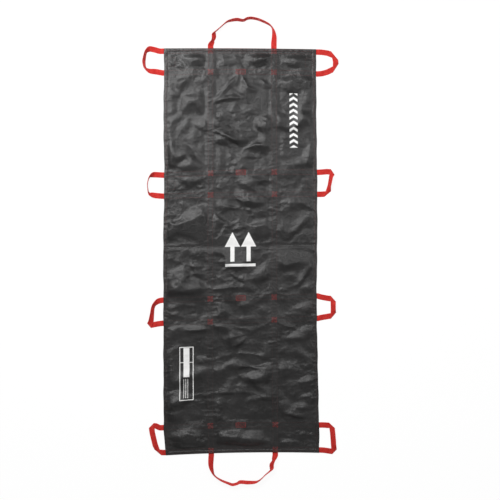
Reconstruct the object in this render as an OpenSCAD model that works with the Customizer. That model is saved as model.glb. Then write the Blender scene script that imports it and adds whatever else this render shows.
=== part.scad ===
// Soft carry sheet for moving a casualty: cloth laid flat on webbing that is sewn to its underside.
// The webbing runs out past the edges and comes back, and each bight is a carrying handle.
// Millimetres. +Z is up, +Y is the head end, and the origin is on the floor under the middle.

/* [Sheet] */
// Width of the finished sheet
sheet_w = 686; // [600:1:800]
// Length of the finished sheet
sheet_l = 1829; // [1700:1:2100]
// Thickness of the coated cloth
cloth_t = 0.8; // [0.4:0.1:1.2]
// Width of the hem, where the cloth is turned over and lies double
hem_w = 14; // [8:1:30]

/* [Creases] */
// Distance from the foot of the slope over the right long webbing out to the side flap's crease
crease_out = 10.5; // [4:0.5:50]
// Place of the crease that the sheet folds in half on
mid_crease_y = 25; // [-100:1:120]
// Gap between the panels at a crease
crease_gap = 0.3; // [0.2:0.05:0.6]

/* [Webbing] */
// Width of the webbing
web_w = 25; // [20:1:30]
// Thickness of the webbing
web_t = 1.6; // [1.2:0.1:2.4]
// Gap between the sheet's edge and the handle that starts there
handle_gap = 0.3; // [0.2:0.05:0.6]
// Gap between the two layers where a handle's webbing is folded over on itself at a corner
layer_gap = 0.3; // [0.2:0.05:0.6]
// Distance over which a folded handle's upper layer rises from the sheet's edge
layer_run = 30; // [20:1:40]
// Distance over which an end handle comes down from under the cloth to the floor
root_run = 25; // [15:1:40]

/* [Long webbings] */
// Distance from the middle of the pair to the centre line of each long webbing
rail_half = 143; // [100:1:170]
// Distance that the pair is sewn to the right of the sheet's centre line
rail_shift = 8; // [0:1:15]
// Width of the slope where the cloth comes down beside a long webbing
ridge_run = 6; // [3:1:8]

/* [Cross webbings] */
// Distance between the two legs of the first cross webbing, at the head end
span_1 = 98; // [85:1:150]
// Distance between the two legs of the second cross webbing
span_2 = 98; // [85:1:150]
// Distance between the two legs of the third cross webbing
span_3 = 102; // [85:1:150]
// Distance between the two legs of the fourth cross webbing, at the foot end
span_4 = 112; // [85:1:150]
// Place of the second cross webbing's middle
cross_2_y = 304; // [200:1:500]
// Place of the third cross webbing's middle
cross_3_y = -258; // [-450:1:-150]
// Length over which the two ends of a cross webbing are lapped and sewn
lap_l = 45; // [30:1:60]

/* [Edge patches] */
// Size of a patch across the sheet
patch_w = 36; // [20:1:60]
// Size of a patch along the sheet
patch_l = 45; // [25:1:55]
// Thickness of a patch
patch_t = 0.7; // [0.4:0.1:1.2]
// Distance from the sheet's edge to the patch
patch_inset = 16; // [15:1:40]

/* [Side handles] */
// Reach of the first left handle past the edge of the sheet
left_reach_1 = 96; // [70:1:120]
// Reach of the second left handle
left_reach_2 = 75; // [65:1:120]
// Reach of the third left handle
left_reach_3 = 74; // [65:1:120]
// Reach of the fourth left handle
left_reach_4 = 70; // [65:1:120]
// Reach of the first right handle
right_reach_1 = 101; // [70:1:120]
// Reach of the second right handle
right_reach_2 = 80; // [65:1:120]
// Reach of the third right handle
right_reach_3 = 87; // [65:1:120]
// Reach of the fourth right handle
right_reach_4 = 80; // [65:1:120]

/* [End handles] */
// Reach of the head drag handle past the end of the sheet
head_reach = 139; // [110:1:200]
// Reach of the foot drag handle past the end of the sheet
foot_reach = 138; // [110:1:200]

/* [Hidden] */

edge_x = sheet_w / 2;
edge_y = sheet_l / 2;
half_gap = crease_gap / 2;
flap_crease_x = rail_shift + rail_half + web_w / 2 + ridge_run + crease_out;
centre_x = flap_crease_x - half_gap;
flap_x = flap_crease_x + half_gap;

// Underside of the cloth where it lies on the cross webbings, and where it passes over a long one
cloth_z = web_t;
ridge_z = 2 * web_t;

rail_x = [rail_shift - rail_half, rail_shift + rail_half];

// Each cross webbing: its middle, the distance between its legs, and which leg has the lap,
// 1 for the one nearer the head and -1 for the other
end_leg_y = edge_y - web_w / 2;
stations = [
    [end_leg_y - span_1 / 2, span_1, -1],
    [cross_2_y, span_2, 1],
    [cross_3_y, span_3, 1],
    [-end_leg_y + span_4 / 2, span_4, 1]
];
function cross_y(n) = stations[n - 1][0];
function cross_span(n) = stations[n - 1][1];
function lap_y(n) = cross_y(n) + stations[n - 1][2] * cross_span(n) / 2;

// How each side handle lies, from its head-side leg round to its foot-side leg. Every row is a point on
// the webbing's centre line: its share of the reach, its place from 0 at the one leg to 1 at the other,
// and the angle at which the webbing leans, 0 flat on the floor and 90 on its edge. Where one list ends
// and the next begins the webbing is folded over flat, on a crease that halves the corner's angle. The
// number before the lists says which of them lies on top, counted from 0.
left_route_1 = [1, [
    [0.24, 0, 0], [0.45, -0.05, 0], [0.66, -0.09, 10], [0.78, -0.09, 28], [0.86, 0, 62], [0.91, 0.11, 68],
    [0.97, 0.32, 63], [1, 0.5, 60], [0.95, 0.72, 66], [0.87, 0.84, 60], [0.74, 0.92, 28],
    [0.46, 0.94, 0], [0.19, 0.98, 0]
]];
left_route_2 = [1, [
    [0.32, -0.01, 0], [0.68, -0.02, 8], [0.82, 0, 42], [0.88, 0.08, 80], [0.94, 0.2, 88],
    [0.99, 0.43, 90], [0.97, 0.66, 88], [0.95, 0.81, 82], [0.92, 0.91, 56], [0.78, 0.95, 20], [0.47, 0.98, 0]
]];
left_route_3 = [0,
    [[0.35, 0.04, 14], [0.56, 0.15, 46], [0.69, 0.32, 54], [0.77, 0.6, 46], [0.88, 0.9, 24], [1.03, 1.1, 0]],
    [[0.42, 1.03, 0]]
];
left_route_4 = [1,
    [[0.3, 0, 0], [0.58, -0.07, 0], [0.94, -0.08, 0]],
    [[0.9, 0.2, 16], [0.73, 0.7, 20], [0.58, 0.98, 0]],
    [[0.2, 1, 0]]
];
right_route_1 = [1,
    [[0.3, 0.01, 0], [0.6, 0.05, 0], [0.93, 0.17, 0]],
    [[0.99, 0.45, 14], [0.98, 0.73, 0]],
    [[0.58, 0.91, 0], [0.3, 0.98, 0]]
];
right_route_2 = [1,
    [[0.3, -0.01, 0], [0.66, -0.03, 0], [1.02, -0.01, 0]],
    [[0.86, 0.23, 48], [0.74, 0.62, 54], [0.67, 0.98, 0]],
    [[0.25, 1, 0]]
];
right_route_3 = [1,
    [[0.3, 0.05, 0], [0.66, 0.1, 0], [0.99, 0.13, 0]],
    [[0.97, 0.36, 28], [0.97, 0.62, 28], [0.99, 0.87, 0]],
    [[0.62, 0.92, 0], [0.3, 0.96, 0]]
];
right_route_4 = [1,
    [[0.3, 0, 0], [0.54, 0.01, 0], [0.84, 0.02, 0]],
    [[0.88, 0.3, 22], [0.93, 0.75, 22], [1.01, 1.06, 0]],
    [[0.67, 1.04, 0], [0.35, 1.01, 0]]
];

// How the two end handles lie, in the same way, with each place along the end of the sheet as a share of
// rail_half, from 1 at the first leg to -1 at the other
head_route = [
    [0.1, 1, 8], [0.15, 0.975, 28], [0.2, 0.95, 40], [0.26, 0.925, 60], [0.39, 0.895, 40],
    [0.48, 0.895, 46], [0.52, 0.86, 82],
    [0.59, 0.78, 90], [0.7, 0.66, 90], [0.81, 0.54, 88], [0.89, 0.43, 78], [0.96, 0.19, 65],
    [0.92, -0.02, 72], [0.98, -0.14, 72], [1, -0.28, 72], [0.96, -0.47, 75], [0.89, -0.65, 75],
    [0.79, -0.83, 80], [0.69, -0.93, 84], [0.56, -0.99, 60], [0.39, -1.01, 32], [0.2, -1, 10]
];
foot_route = [
    [0.09, 1, 8], [0.14, 0.985, 28], [0.2, 0.962, 44], [0.28, 0.935, 62], [0.41, 0.89, 40],
    [0.51, 0.89, 48], [0.55, 0.85, 82],
    [0.68, 0.69, 90], [0.78, 0.59, 90], [0.87, 0.48, 84], [0.93, 0.36, 70], [0.95, 0.15, 60],
    [0.93, -0.07, 62], [0.97, -0.18, 72], [1, -0.32, 72], [0.95, -0.45, 75], [0.83, -0.7, 82],
    [0.7, -0.88, 85], [0.58, -0.96, 64], [0.41, -1.01, 34], [0.2, -1.01, 10]
];
// Share of the reach over which a handle leaves the sheet square to its edge
square_share = 0.07;
// Points of the swept webbing between two points of a route
route_steps = 4;
// Angle between the webbing's sections round a fold
fold_step = 45;

// Extrudes a shape drawn in X and Z along the sheet, from y0 to y1
module along_sheet(y0, y1) {
    translate([0, y1, 0]) rotate([90, 0, 0]) linear_extrude(y1 - y0) children();
}

// Underside of the cloth from x0 to x1, with a ridge over each long webbing in the list
function underside(x0, x1, ridges) = [
    [x0, cloth_z],
    for (x = ridges) each [
        [x - web_w / 2 - ridge_run, cloth_z], [x - web_w / 2, ridge_z],
        [x + web_w / 2, ridge_z], [x + web_w / 2 + ridge_run, cloth_z]
    ],
    [x1, cloth_z]
];
function raised(line, z) = [for (p = line) p + [0, z]];
function reversed(line) = [for (i = [len(line) - 1 : -1 : 0]) line[i]];

// One thickness of cloth in section: layer 0 is the sheet, layer 1 the turned-over hem on top of it
module cloth_section(x0, x1, ridges, layer) {
    line = underside(x0, x1, ridges);
    polygon(concat(raised(line, layer * cloth_t), reversed(raised(line, (layer + 1) * cloth_t))));
}

// A panel of the sheet from x0 to x1 and y0 to y1, hemmed along hem_y0 to hem_y1
module panel(x0, x1, y0, y1, hem_y0, hem_y1, ridges) {
    along_sheet(y0, y1) cloth_section(x0, x1, ridges, 0);
    along_sheet(hem_y0, hem_y1) cloth_section(x0, x1, ridges, 1);
}

// The lapped ends of a cross webbing, which lie on the leg below them
module lap(n) {
    translate([-lap_l / 2, lap_y(n) - web_w / 2, web_t]) cube([lap_l, web_w, web_t]);
}

// A centre panel with the raised places where it passes over the laps of webbings n_a and n_b
module centre_panel(y0, y1, hem_y0, hem_y1, n_a, n_b) {
    difference() {
        union() {
            panel(-centre_x, centre_x, y0, y1, hem_y0, hem_y1, rail_x);
            for (n = [n_a, n_b])
                translate([-lap_l / 2 - cloth_t, lap_y(n) - web_w / 2 - cloth_t, cloth_z])
                    cube([lap_l + 2 * cloth_t, web_w + 2 * cloth_t, web_t + cloth_t]);
        }
        for (n = [n_a, n_b]) lap(n);
    }
}

module sheet_centre_head() {
    color("#48484a") centre_panel(mid_crease_y + half_gap, edge_y, edge_y - hem_w, edge_y, 1, 2);
}

module sheet_centre_foot() {
    color("#3a3a3c") centre_panel(-edge_y, mid_crease_y - half_gap, -edge_y, -edge_y + hem_w, 3, 4);
}

// A side flap on the right, hemmed along its end and its side edge
module flap(y0, y1, hem_y0, hem_y1) {
    panel(flap_x, edge_x, y0, y1, hem_y0, hem_y1, []);
    along_sheet(y0, y1) cloth_section(edge_x - hem_w, edge_x, [], 1);
}

module flap_head() {
    color("#48484a") flap(mid_crease_y + half_gap, edge_y, edge_y - hem_w, edge_y);
}

module flap_foot() {
    color("#3a3a3c") flap(-edge_y, mid_crease_y - half_gap, -edge_y, -edge_y + hem_w);
}

// The length of a long webbing under one half of the sheet
module long_strap(x, y0, y1) {
    color("#c8322a") translate([x - web_w / 2, y0, web_t]) cube([web_w, y1 - y0, web_t]);
}

module long_strap_head(x) {
    long_strap(x, mid_crease_y + half_gap, edge_y);
}

module long_strap_foot(x) {
    long_strap(x, -edge_y, mid_crease_y - half_gap);
}

// Both legs of cross webbing n between x0 and x1
module cross_legs(n, x0, x1) {
    for (end = [-1, 1])
        translate([x0, cross_y(n) + end * cross_span(n) / 2 - web_w / 2, 0]) cube([x1 - x0, web_w, web_t]);
}

module cross_strap_side(n) {
    color("#c8322a") cross_legs(n, flap_x, edge_x);
}

module cross_strap_centre(n) {
    color("#c8322a") {
        cross_legs(n, -centre_x, centre_x);
        lap(n);
    }
}

// The reinforcing patch sewn under the right edge between the legs of cross webbing n
module edge_patch(n) {
    color("#2c2c2e")
        translate([edge_x - patch_inset - patch_w, cross_y(n) - patch_l / 2, cloth_z - patch_t])
            cube([patch_w, patch_l, patch_t]);
}

// Point on the smooth curve through the points p, a share u of the way from point i to the next
function on_curve(p, i, u) =
    let (a = p[max(i - 1, 0)], b = p[i], c = p[i + 1], d = p[min(i + 2, len(p) - 1)])
    (2 * b + (c - a) * u + (2 * a - 5 * b + 4 * c - d) * u * u + (3 * b - a - 3 * c + d) * u * u * u) / 2;
function curve(p) = [
    for (i = [0 : len(p) - 2]) for (k = [0 : route_steps - 1]) on_curve(p, i, k / route_steps),
    p[len(p) - 1]
];
function unit(v) = v / norm(v);

// Height of the webbing's centre line when it rests on its lower edge, and the extra height of an end
// handle near the sheet, where it comes from under the cloth
function resting(lean) = (web_w * abs(sin(lean)) + web_t * abs(cos(lean))) / 2;
function root_rise(out, rise) = rise * max(0, 1 - out / root_run);

// Point of a handle at the row p [share of reach, distance along, lean], as [out, along, up, lean]
function laid_point(p, reach, rise, lift) =
    let (out = handle_gap + p[0] * (reach - handle_gap - web_w / 2 * abs(cos(p[2]))))
    [out, p[1], resting(p[2]) + root_rise(out, rise) + lift * min(1, out / layer_run), p[2]];

// Points of stretch k of a handle's rows, with none between a fold and the row next to it
function laid(rows, k, reach, rise, top) =
    let (from_fold = k > 0, to_fold = k < len(rows) - 1, n = len(rows[k]),
         lift = k == top && (from_fold || to_fold) ? web_t + layer_gap : 0,
         free = [for (i = [0 : n - (to_fold ? 2 : 1)]) rows[k][i]],
         turned = k % 2 == 0 ? [0, 0, 0] : [0, 0, 180])
    [for (p = concat(
        from_fold ? [rows[k - 1][len(rows[k - 1]) - 1]] : [[0, free[0][1], 0]],
        len(free) > 1 ? curve(free) : free,
        to_fold ? [rows[k][n - 1]] : [[0, free[len(free) - 1][1], 0]]
    )) laid_point(p + turned, reach, rise, lift)];

// Direction of the webbing at point i of the points q. It stands square to the sheet's edge at the
// handle's two ends, and runs straight to the next point at a fold.
function level_unit(v) = unit([v[0], v[1], 0]);
function heading(q, i, first, last) =
    i == 0 ? (first ? [1, 0, 0] : level_unit(q[1] - q[0])) :
    i == len(q) - 1 ? (last ? [-1, 0, 0] : level_unit(q[i] - q[i - 1])) :
    let (step = q[i + 1] - q[i - 1]) unit([step[0], step[1], step[2]]);

// The four corners of the webbing's section with its middle at c, from the vectors to its edge and its face
function ring(c, across, through) =
    [c + across + through, c + across - through, c - across - through, c - across + through];

// The webbing's section at the point p, heading ahead
function section(p, ahead) =
    let (side = unit([-ahead[1], ahead[0], 0]), steep = cross(ahead, side))
    ring([p[0], p[1], p[2]], (cos(p[3]) * side + sin(p[3]) * steep) * web_w / 2,
         (cos(p[3]) * steep - sin(p[3]) * side) * web_t / 2);

// The sections round a fold, from the last point of one stretch's points a to the first of the next's, b
function fold_sections(a, b) =
    let (n = len(a) - 1, before = heading(a, n, false, false), after = heading(b, 0, false, false),
         crease = unit(before + after), outward = unit(before - after), face = cos(a[n][3]),
         half_rise = (a[n][2] - b[0][2]) / 2, way = sign(half_rise),
         across = face * crease / (crease * [-before[1], before[0], 0]) * web_w / 2,
         middle = [a[n][0], a[n][1], (a[n][2] + b[0][2]) / 2])
    [for (turn = [0 : fold_step : 180]) ring(
        middle + [0, 0, half_rise * cos(turn)] + outward * abs(half_rise) * sin(turn), across,
        face * ([0, 0, cos(turn)] + way * outward * sin(turn)) * web_t / 2
    )];

// Webbing swept through the rings of four corners in the list, with a cap at each end
module swept_webbing(rings) {
    last = 4 * (len(rings) - 1);
    polyhedron(
        points = [for (r = rings) each r],
        faces = concat(
            [[0, 1, 2, 3], [last + 3, last + 2, last + 1, last]],
            [for (i = [0 : 4 : last - 4]) for (k = [0 : 3]) each [
                [i + k, i + 4 + k, i + (k + 1) % 4], [i + (k + 1) % 4, i + 4 + k, i + 4 + (k + 1) % 4]
            ]]
        ),
        convexity = 6
    );
}

// A handle from its stretches of rows [share of reach, distance along, lean], folded over between them.
// A section next to a fold is left to the fold.
module handle(rows, reach, rise, top) {
    last = len(rows) - 1;
    points = [for (k = [0 : last]) laid(rows, k, reach, rise, top)];
    color("#d23a30") swept_webbing([
        for (k = [0 : last]) each concat(
            [for (i = [k == 0 ? 0 : 1 : len(points[k]) - (k == last ? 1 : 2)])
                section(points[k][i], heading(points[k], i, k == 0, k == last))],
            k == last ? [] : fold_sections(points[k], points[k + 1])
        )
    ]);
}

// A side handle on the right at cross webbing n, whose route runs from the one leg to the other
module side_handle(n, reach, route) {
    last = len(route) - 1;
    rows = [for (k = [1 : last]) concat(
        k == 1 ? [[square_share, 0, 0]] : [], route[k], k == last ? [[square_share, 1, 0]] : []
    )];
    placed = [for (stretch = rows) [for (p = stretch) [p[0], (0.5 - p[1]) * cross_span(n), p[2]]]];
    translate([edge_x, cross_y(n), 0]) handle(placed, reach, 0, route[0]);
}

// An end handle between the two long webbings, reaching out along +X from x = 0
module end_handle(reach, route) {
    rows = concat([[square_share, 1, 0]], route, [[square_share, -1, 0]]);
    handle([[for (p = rows) [p[0], p[1] * rail_half, p[2]]]], reach, web_t, 0);
}

module drag_handle_head() {
    translate([rail_shift, edge_y, 0]) rotate([0, 0, 90]) end_handle(head_reach, head_route);
}

module drag_handle_foot() {
    translate([rail_shift, -edge_y, 0]) rotate([0, 0, -90]) end_handle(foot_reach, foot_route);
}

module left() {
    mirror([1, 0, 0]) children();
}

sheet_centre_head();
sheet_centre_foot();
left() flap_head();  // sheet_left_head
left() flap_foot();  // sheet_left_foot
flap_head();  // sheet_right_head
flap_foot();  // sheet_right_foot
long_strap_head(rail_x[0]);  // long_strap_left_head
long_strap_foot(rail_x[0]);  // long_strap_left_foot
long_strap_head(rail_x[1]);  // long_strap_right_head
long_strap_foot(rail_x[1]);  // long_strap_right_foot
left() cross_strap_side(1);  // cross_strap_1_left
cross_strap_centre(1);  // cross_strap_1_centre
cross_strap_side(1);  // cross_strap_1_right
left() cross_strap_side(2);  // cross_strap_2_left
cross_strap_centre(2);  // cross_strap_2_centre
cross_strap_side(2);  // cross_strap_2_right
left() cross_strap_side(3);  // cross_strap_3_left
cross_strap_centre(3);  // cross_strap_3_centre
cross_strap_side(3);  // cross_strap_3_right
left() cross_strap_side(4);  // cross_strap_4_left
cross_strap_centre(4);  // cross_strap_4_centre
cross_strap_side(4);  // cross_strap_4_right
left() edge_patch(1);  // edge_patch_1_left
edge_patch(1);  // edge_patch_1_right
left() edge_patch(2);  // edge_patch_2_left
edge_patch(2);  // edge_patch_2_right
left() edge_patch(3);  // edge_patch_3_left
edge_patch(3);  // edge_patch_3_right
left() edge_patch(4);  // edge_patch_4_left
edge_patch(4);  // edge_patch_4_right
left() side_handle(1, left_reach_1, left_route_1);  // handle_1_left
side_handle(1, right_reach_1, right_route_1);  // handle_1_right
left() side_handle(2, left_reach_2, left_route_2);  // handle_2_left
side_handle(2, right_reach_2, right_route_2);  // handle_2_right
left() side_handle(3, left_reach_3, left_route_3);  // handle_3_left
side_handle(3, right_reach_3, right_route_3);  // handle_3_right
left() side_handle(4, left_reach_4, left_route_4);  // handle_4_left
side_handle(4, right_reach_4, right_route_4);  // handle_4_right
drag_handle_head();
drag_handle_foot();
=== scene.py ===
"""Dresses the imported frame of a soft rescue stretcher: coated cloth sewn to red webbing, laid out flat.

Metres throughout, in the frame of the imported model: +Z up, +Y towards the head end, the origin on the
floor under the middle of the sheet.
"""

import logging
import math
from dataclasses import dataclass, field
from enum import Enum
from typing import Iterable, Optional, Sequence, Union

import bmesh
import bpy
import numpy as np
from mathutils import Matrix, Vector


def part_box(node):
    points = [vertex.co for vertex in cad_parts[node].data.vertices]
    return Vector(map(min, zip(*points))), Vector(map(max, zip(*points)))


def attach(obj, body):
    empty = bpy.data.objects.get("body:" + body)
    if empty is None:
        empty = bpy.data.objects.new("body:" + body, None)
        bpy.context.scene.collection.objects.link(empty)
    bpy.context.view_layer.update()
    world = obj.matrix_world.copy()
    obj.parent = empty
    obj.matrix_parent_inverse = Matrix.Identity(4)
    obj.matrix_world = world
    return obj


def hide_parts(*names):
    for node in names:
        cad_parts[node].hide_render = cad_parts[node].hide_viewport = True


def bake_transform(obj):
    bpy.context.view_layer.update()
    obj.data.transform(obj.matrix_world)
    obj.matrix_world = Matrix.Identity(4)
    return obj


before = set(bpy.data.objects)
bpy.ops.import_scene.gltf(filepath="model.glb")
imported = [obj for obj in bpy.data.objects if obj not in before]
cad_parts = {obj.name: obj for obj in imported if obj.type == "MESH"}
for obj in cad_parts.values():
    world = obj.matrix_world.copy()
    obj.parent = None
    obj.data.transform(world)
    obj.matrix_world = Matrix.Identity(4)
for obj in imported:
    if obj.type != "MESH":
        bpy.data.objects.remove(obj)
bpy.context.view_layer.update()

log = logging.getLogger("stretcher")

Point = tuple[float, float]
Route = Sequence[tuple[float, float, float]]
Box = tuple[Point, Point]
Colour = tuple[float, float, float, float]

# the cross webbings, counted from the head end
NUMBERS = range(1, 5)


class Named(Enum):
    """A choice that nodes and bodies are named after."""

    @property
    def word(self) -> str:
        """Its word in their names."""
        return self.name.lower()


class Side(Named):
    """The two long sides of the sheet, seen from above with the head end at the top."""

    LEFT = -1
    RIGHT = 1


class End(Named):
    """The two ends of the sheet."""

    HEAD = 1
    FOOT = -1

    @staticmethod
    def of(number: int) -> "End":
        """The end that a cross webbing belongs to, by its number from the head end."""
        return End.HEAD if number < 3 else End.FOOT


@dataclass(frozen=True)
class Layout:
    """Where the sheet, its creases and its webbing lie, in metres, as the frame has them.

    rails are the x of the two long webbings, and stations and spans the middle and the leg spacing of each
    cross webbing. A bend has a height, about that of its hinge line, and a reach along the cloth. The rows
    say how far the sheet's two edges (y, shift across, shift along) and its middle (y, shift along) lie
    askew. Past the ends, the shift along fades by handle_share over handle_length.
    """

    half_width: float = 0.343
    half_length: float = 0.9145
    cloth: float = 0.0008
    hem: float = 0.014
    mid_crease: float = 0.025
    flap_crease: float = 0.180
    fold_height: float = 0.004
    fold_spare: float = math.radians(15)
    fold_gap: float = 0.0001
    fold_reach: float = 0.012
    edge_height: float = 0.003
    flap_reach: float = 0.020
    drag_height: float = 0.0048
    handle_reach: float = 0.024
    webbing: float = 0.025
    webbing_thick: float = 0.0016
    rails: tuple[float, float] = (-0.135, 0.151)
    rail_half: float = 0.143
    rail_shift: float = 0.008
    stations: tuple[float, ...] = (0.853, 0.304, -0.258, -0.846)
    spans: tuple[float, ...] = (0.098, 0.098, 0.102, 0.112)
    lapped_leg: tuple[int, ...] = (-1, 1, 1, 1)
    lap: float = 0.045

    left_rows: tuple[tuple[float, float, float], ...] = (
        (-0.9145, 0.006, 0.0), (-0.860, 0.001, 0.0), (-0.790, -0.004, 0.0), (-0.500, -0.005, -0.008),
        (-0.309, -0.005, -0.0115), (-0.207, -0.005, -0.0095), (0.050, -0.006, -0.006),
        (0.255, -0.002, -0.004), (0.353, -0.001, -0.0075), (0.600, -0.005, -0.002),
        (0.804, -0.002, 0.001), (0.9145, -0.002, 0.001),
    )
    right_rows: tuple[tuple[float, float, float], ...] = (
        (-0.9145, 0.009, 0.0115), (-0.860, 0.010, 0.012), (-0.790, 0.009, 0.012), (-0.500, 0.003, 0.0115),
        (-0.309, -0.001, 0.0108), (-0.207, -0.002, 0.009), (0.050, 0.001, 0.006), (0.255, 0.001, 0.0045),
        (0.353, 0.000, 0.0054), (0.600, -0.003, 0.001), (0.804, -0.004, -0.0034), (0.9145, -0.005, -0.003),
    )
    middle_rows: tuple[tuple[float, float], ...] = (
        (-0.9145, 0.0125), (-0.790, 0.013), (-0.500, 0.005), (-0.309, 0.0), (-0.207, 0.0), (0.050, 0.002),
        (0.353, 0.0045), (0.600, 0.006), (0.804, 0.0065), (0.9145, 0.001),
    )

    handle_length: float = 0.12
    handle_share: float = 0.6

    def askew(self, x: np.ndarray, y: np.ndarray) -> tuple[np.ndarray, np.ndarray]:
        """Where a point of the true rectangle lies, as the soft sheet was thrown down a little out of square.

        Args:
            x: places across the true rectangle.
            y: places along it.

        Returns:
            The places on the floor.
        """
        left, right, middle = (np.array(rows) for rows in (self.left_rows, self.right_rows, self.middle_rows))
        u = np.clip(np.asarray(x) / self.half_width, -1, 1)
        on_left, on_middle, on_right = u * (u - 1) / 2, 1 - u * u, u * (u + 1) / 2
        at_left, at_right = (np.interp(y, rows[:, 0], rows[:, 1]) for rows in (left, right))
        shift_x = np.where(u < 0, -u * at_left, u * at_right)
        shift_y = (
            on_left * np.interp(y, left[:, 0], left[:, 2])
            + on_middle * np.interp(y, middle[:, 0], middle[:, 1])
            + on_right * np.interp(y, right[:, 0], right[:, 2])
        )
        beyond = np.clip((np.abs(y) - self.half_length) / self.handle_length, 0, 1)
        return x + shift_x, y + shift_y * (1 - self.handle_share * beyond)

    def leg(self, number: int, way: int) -> float:
        """The y of one leg of a cross webbing, way 1 for the leg nearer the head."""
        return self.stations[number - 1] + way * self.spans[number - 1] / 2

    def lap_line(self, number: int) -> float:
        """The y of the leg that the ends of a cross webbing are lapped on."""
        return self.leg(number, self.lapped_leg[number - 1])

    @property
    def legs(self) -> tuple[float, ...]:
        """The y of all the legs of the cross webbings, two for each number."""
        return tuple(self.leg(number, way) for number in NUMBERS for way in (-1, 1))

    def inset(self, x: np.ndarray, y: np.ndarray) -> np.ndarray:
        """How far points lie inside the sheet's nearest edge."""
        return np.minimum(self.half_width - np.abs(x), self.half_length - np.abs(y))


LAYOUT = Layout()

Term = Union["Signal", float, int]


class Signal:
    """A number that varies over a surface: one output socket, with Python's arithmetic on it."""

    def __init__(self, bench: "Bench", socket: bpy.types.NodeSocket) -> None:
        """Wraps an output socket of the bench's material."""
        self.bench = bench
        self.socket = socket

    def _maths(self, operation: str, *terms: Term) -> "Signal":
        """Adds one Math node.

        Args:
            operation: Blender's name for the operation.
            terms: the inputs in order, as signals or numbers.

        Returns:
            The node's output.
        """
        return self.bench.node("ShaderNodeMath", {"operation": operation}, dict(enumerate(terms)))

    def __add__(self, other: Term) -> "Signal":
        """Sum."""
        return self._maths("ADD", self, other)

    __radd__ = __add__

    def __sub__(self, other: Term) -> "Signal":
        """Difference."""
        return self._maths("SUBTRACT", self, other)

    def __rsub__(self, other: Term) -> "Signal":
        """Difference, the other way round."""
        return self._maths("SUBTRACT", other, self)

    def __mul__(self, other: Term) -> "Signal":
        """Product."""
        return self._maths("MULTIPLY", self, other)

    __rmul__ = __mul__

    def __truediv__(self, other: Term) -> "Signal":
        """Quotient."""
        return self._maths("DIVIDE", self, other)

    def __abs__(self) -> "Signal":
        """Size without the sign."""
        return self._maths("ABSOLUTE", self)

    def sine(self) -> "Signal":
        """Sine of an angle in radians."""
        return self._maths("SINE", self)

    def fraction(self) -> "Signal":
        """What is left past the whole number below."""
        return self._maths("FRACT", self)

    def whole(self) -> "Signal":
        """The whole number below."""
        return self._maths("FLOOR", self)

    def lower(self, other: Term) -> "Signal":
        """The smaller of two."""
        return self._maths("MINIMUM", self, other)

    def higher(self, other: Term) -> "Signal":
        """The larger of two."""
        return self._maths("MAXIMUM", self, other)

    def limited(self) -> "Signal":
        """Kept from 0 to 1."""
        return self.higher(0.0).lower(1.0)

    def band(self, low: float, high: float, out_low: float = 0.0, out_high: float = 1.0) -> "Signal":
        """Runs smoothly from one value to another as the signal crosses a band.

        Args:
            low: the signal's value where the change starts.
            high: the signal's value where the change ends.
            out_low: what comes out below the band.
            out_high: what comes out above it.

        Returns:
            The eased signal.
        """
        return self.bench.node(
            "ShaderNodeMapRange",
            {"interpolation_type": "SMOOTHSTEP"},
            {"Value": self, "From Min": low, "From Max": high, "To Min": out_low, "To Max": out_high},
        )


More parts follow.
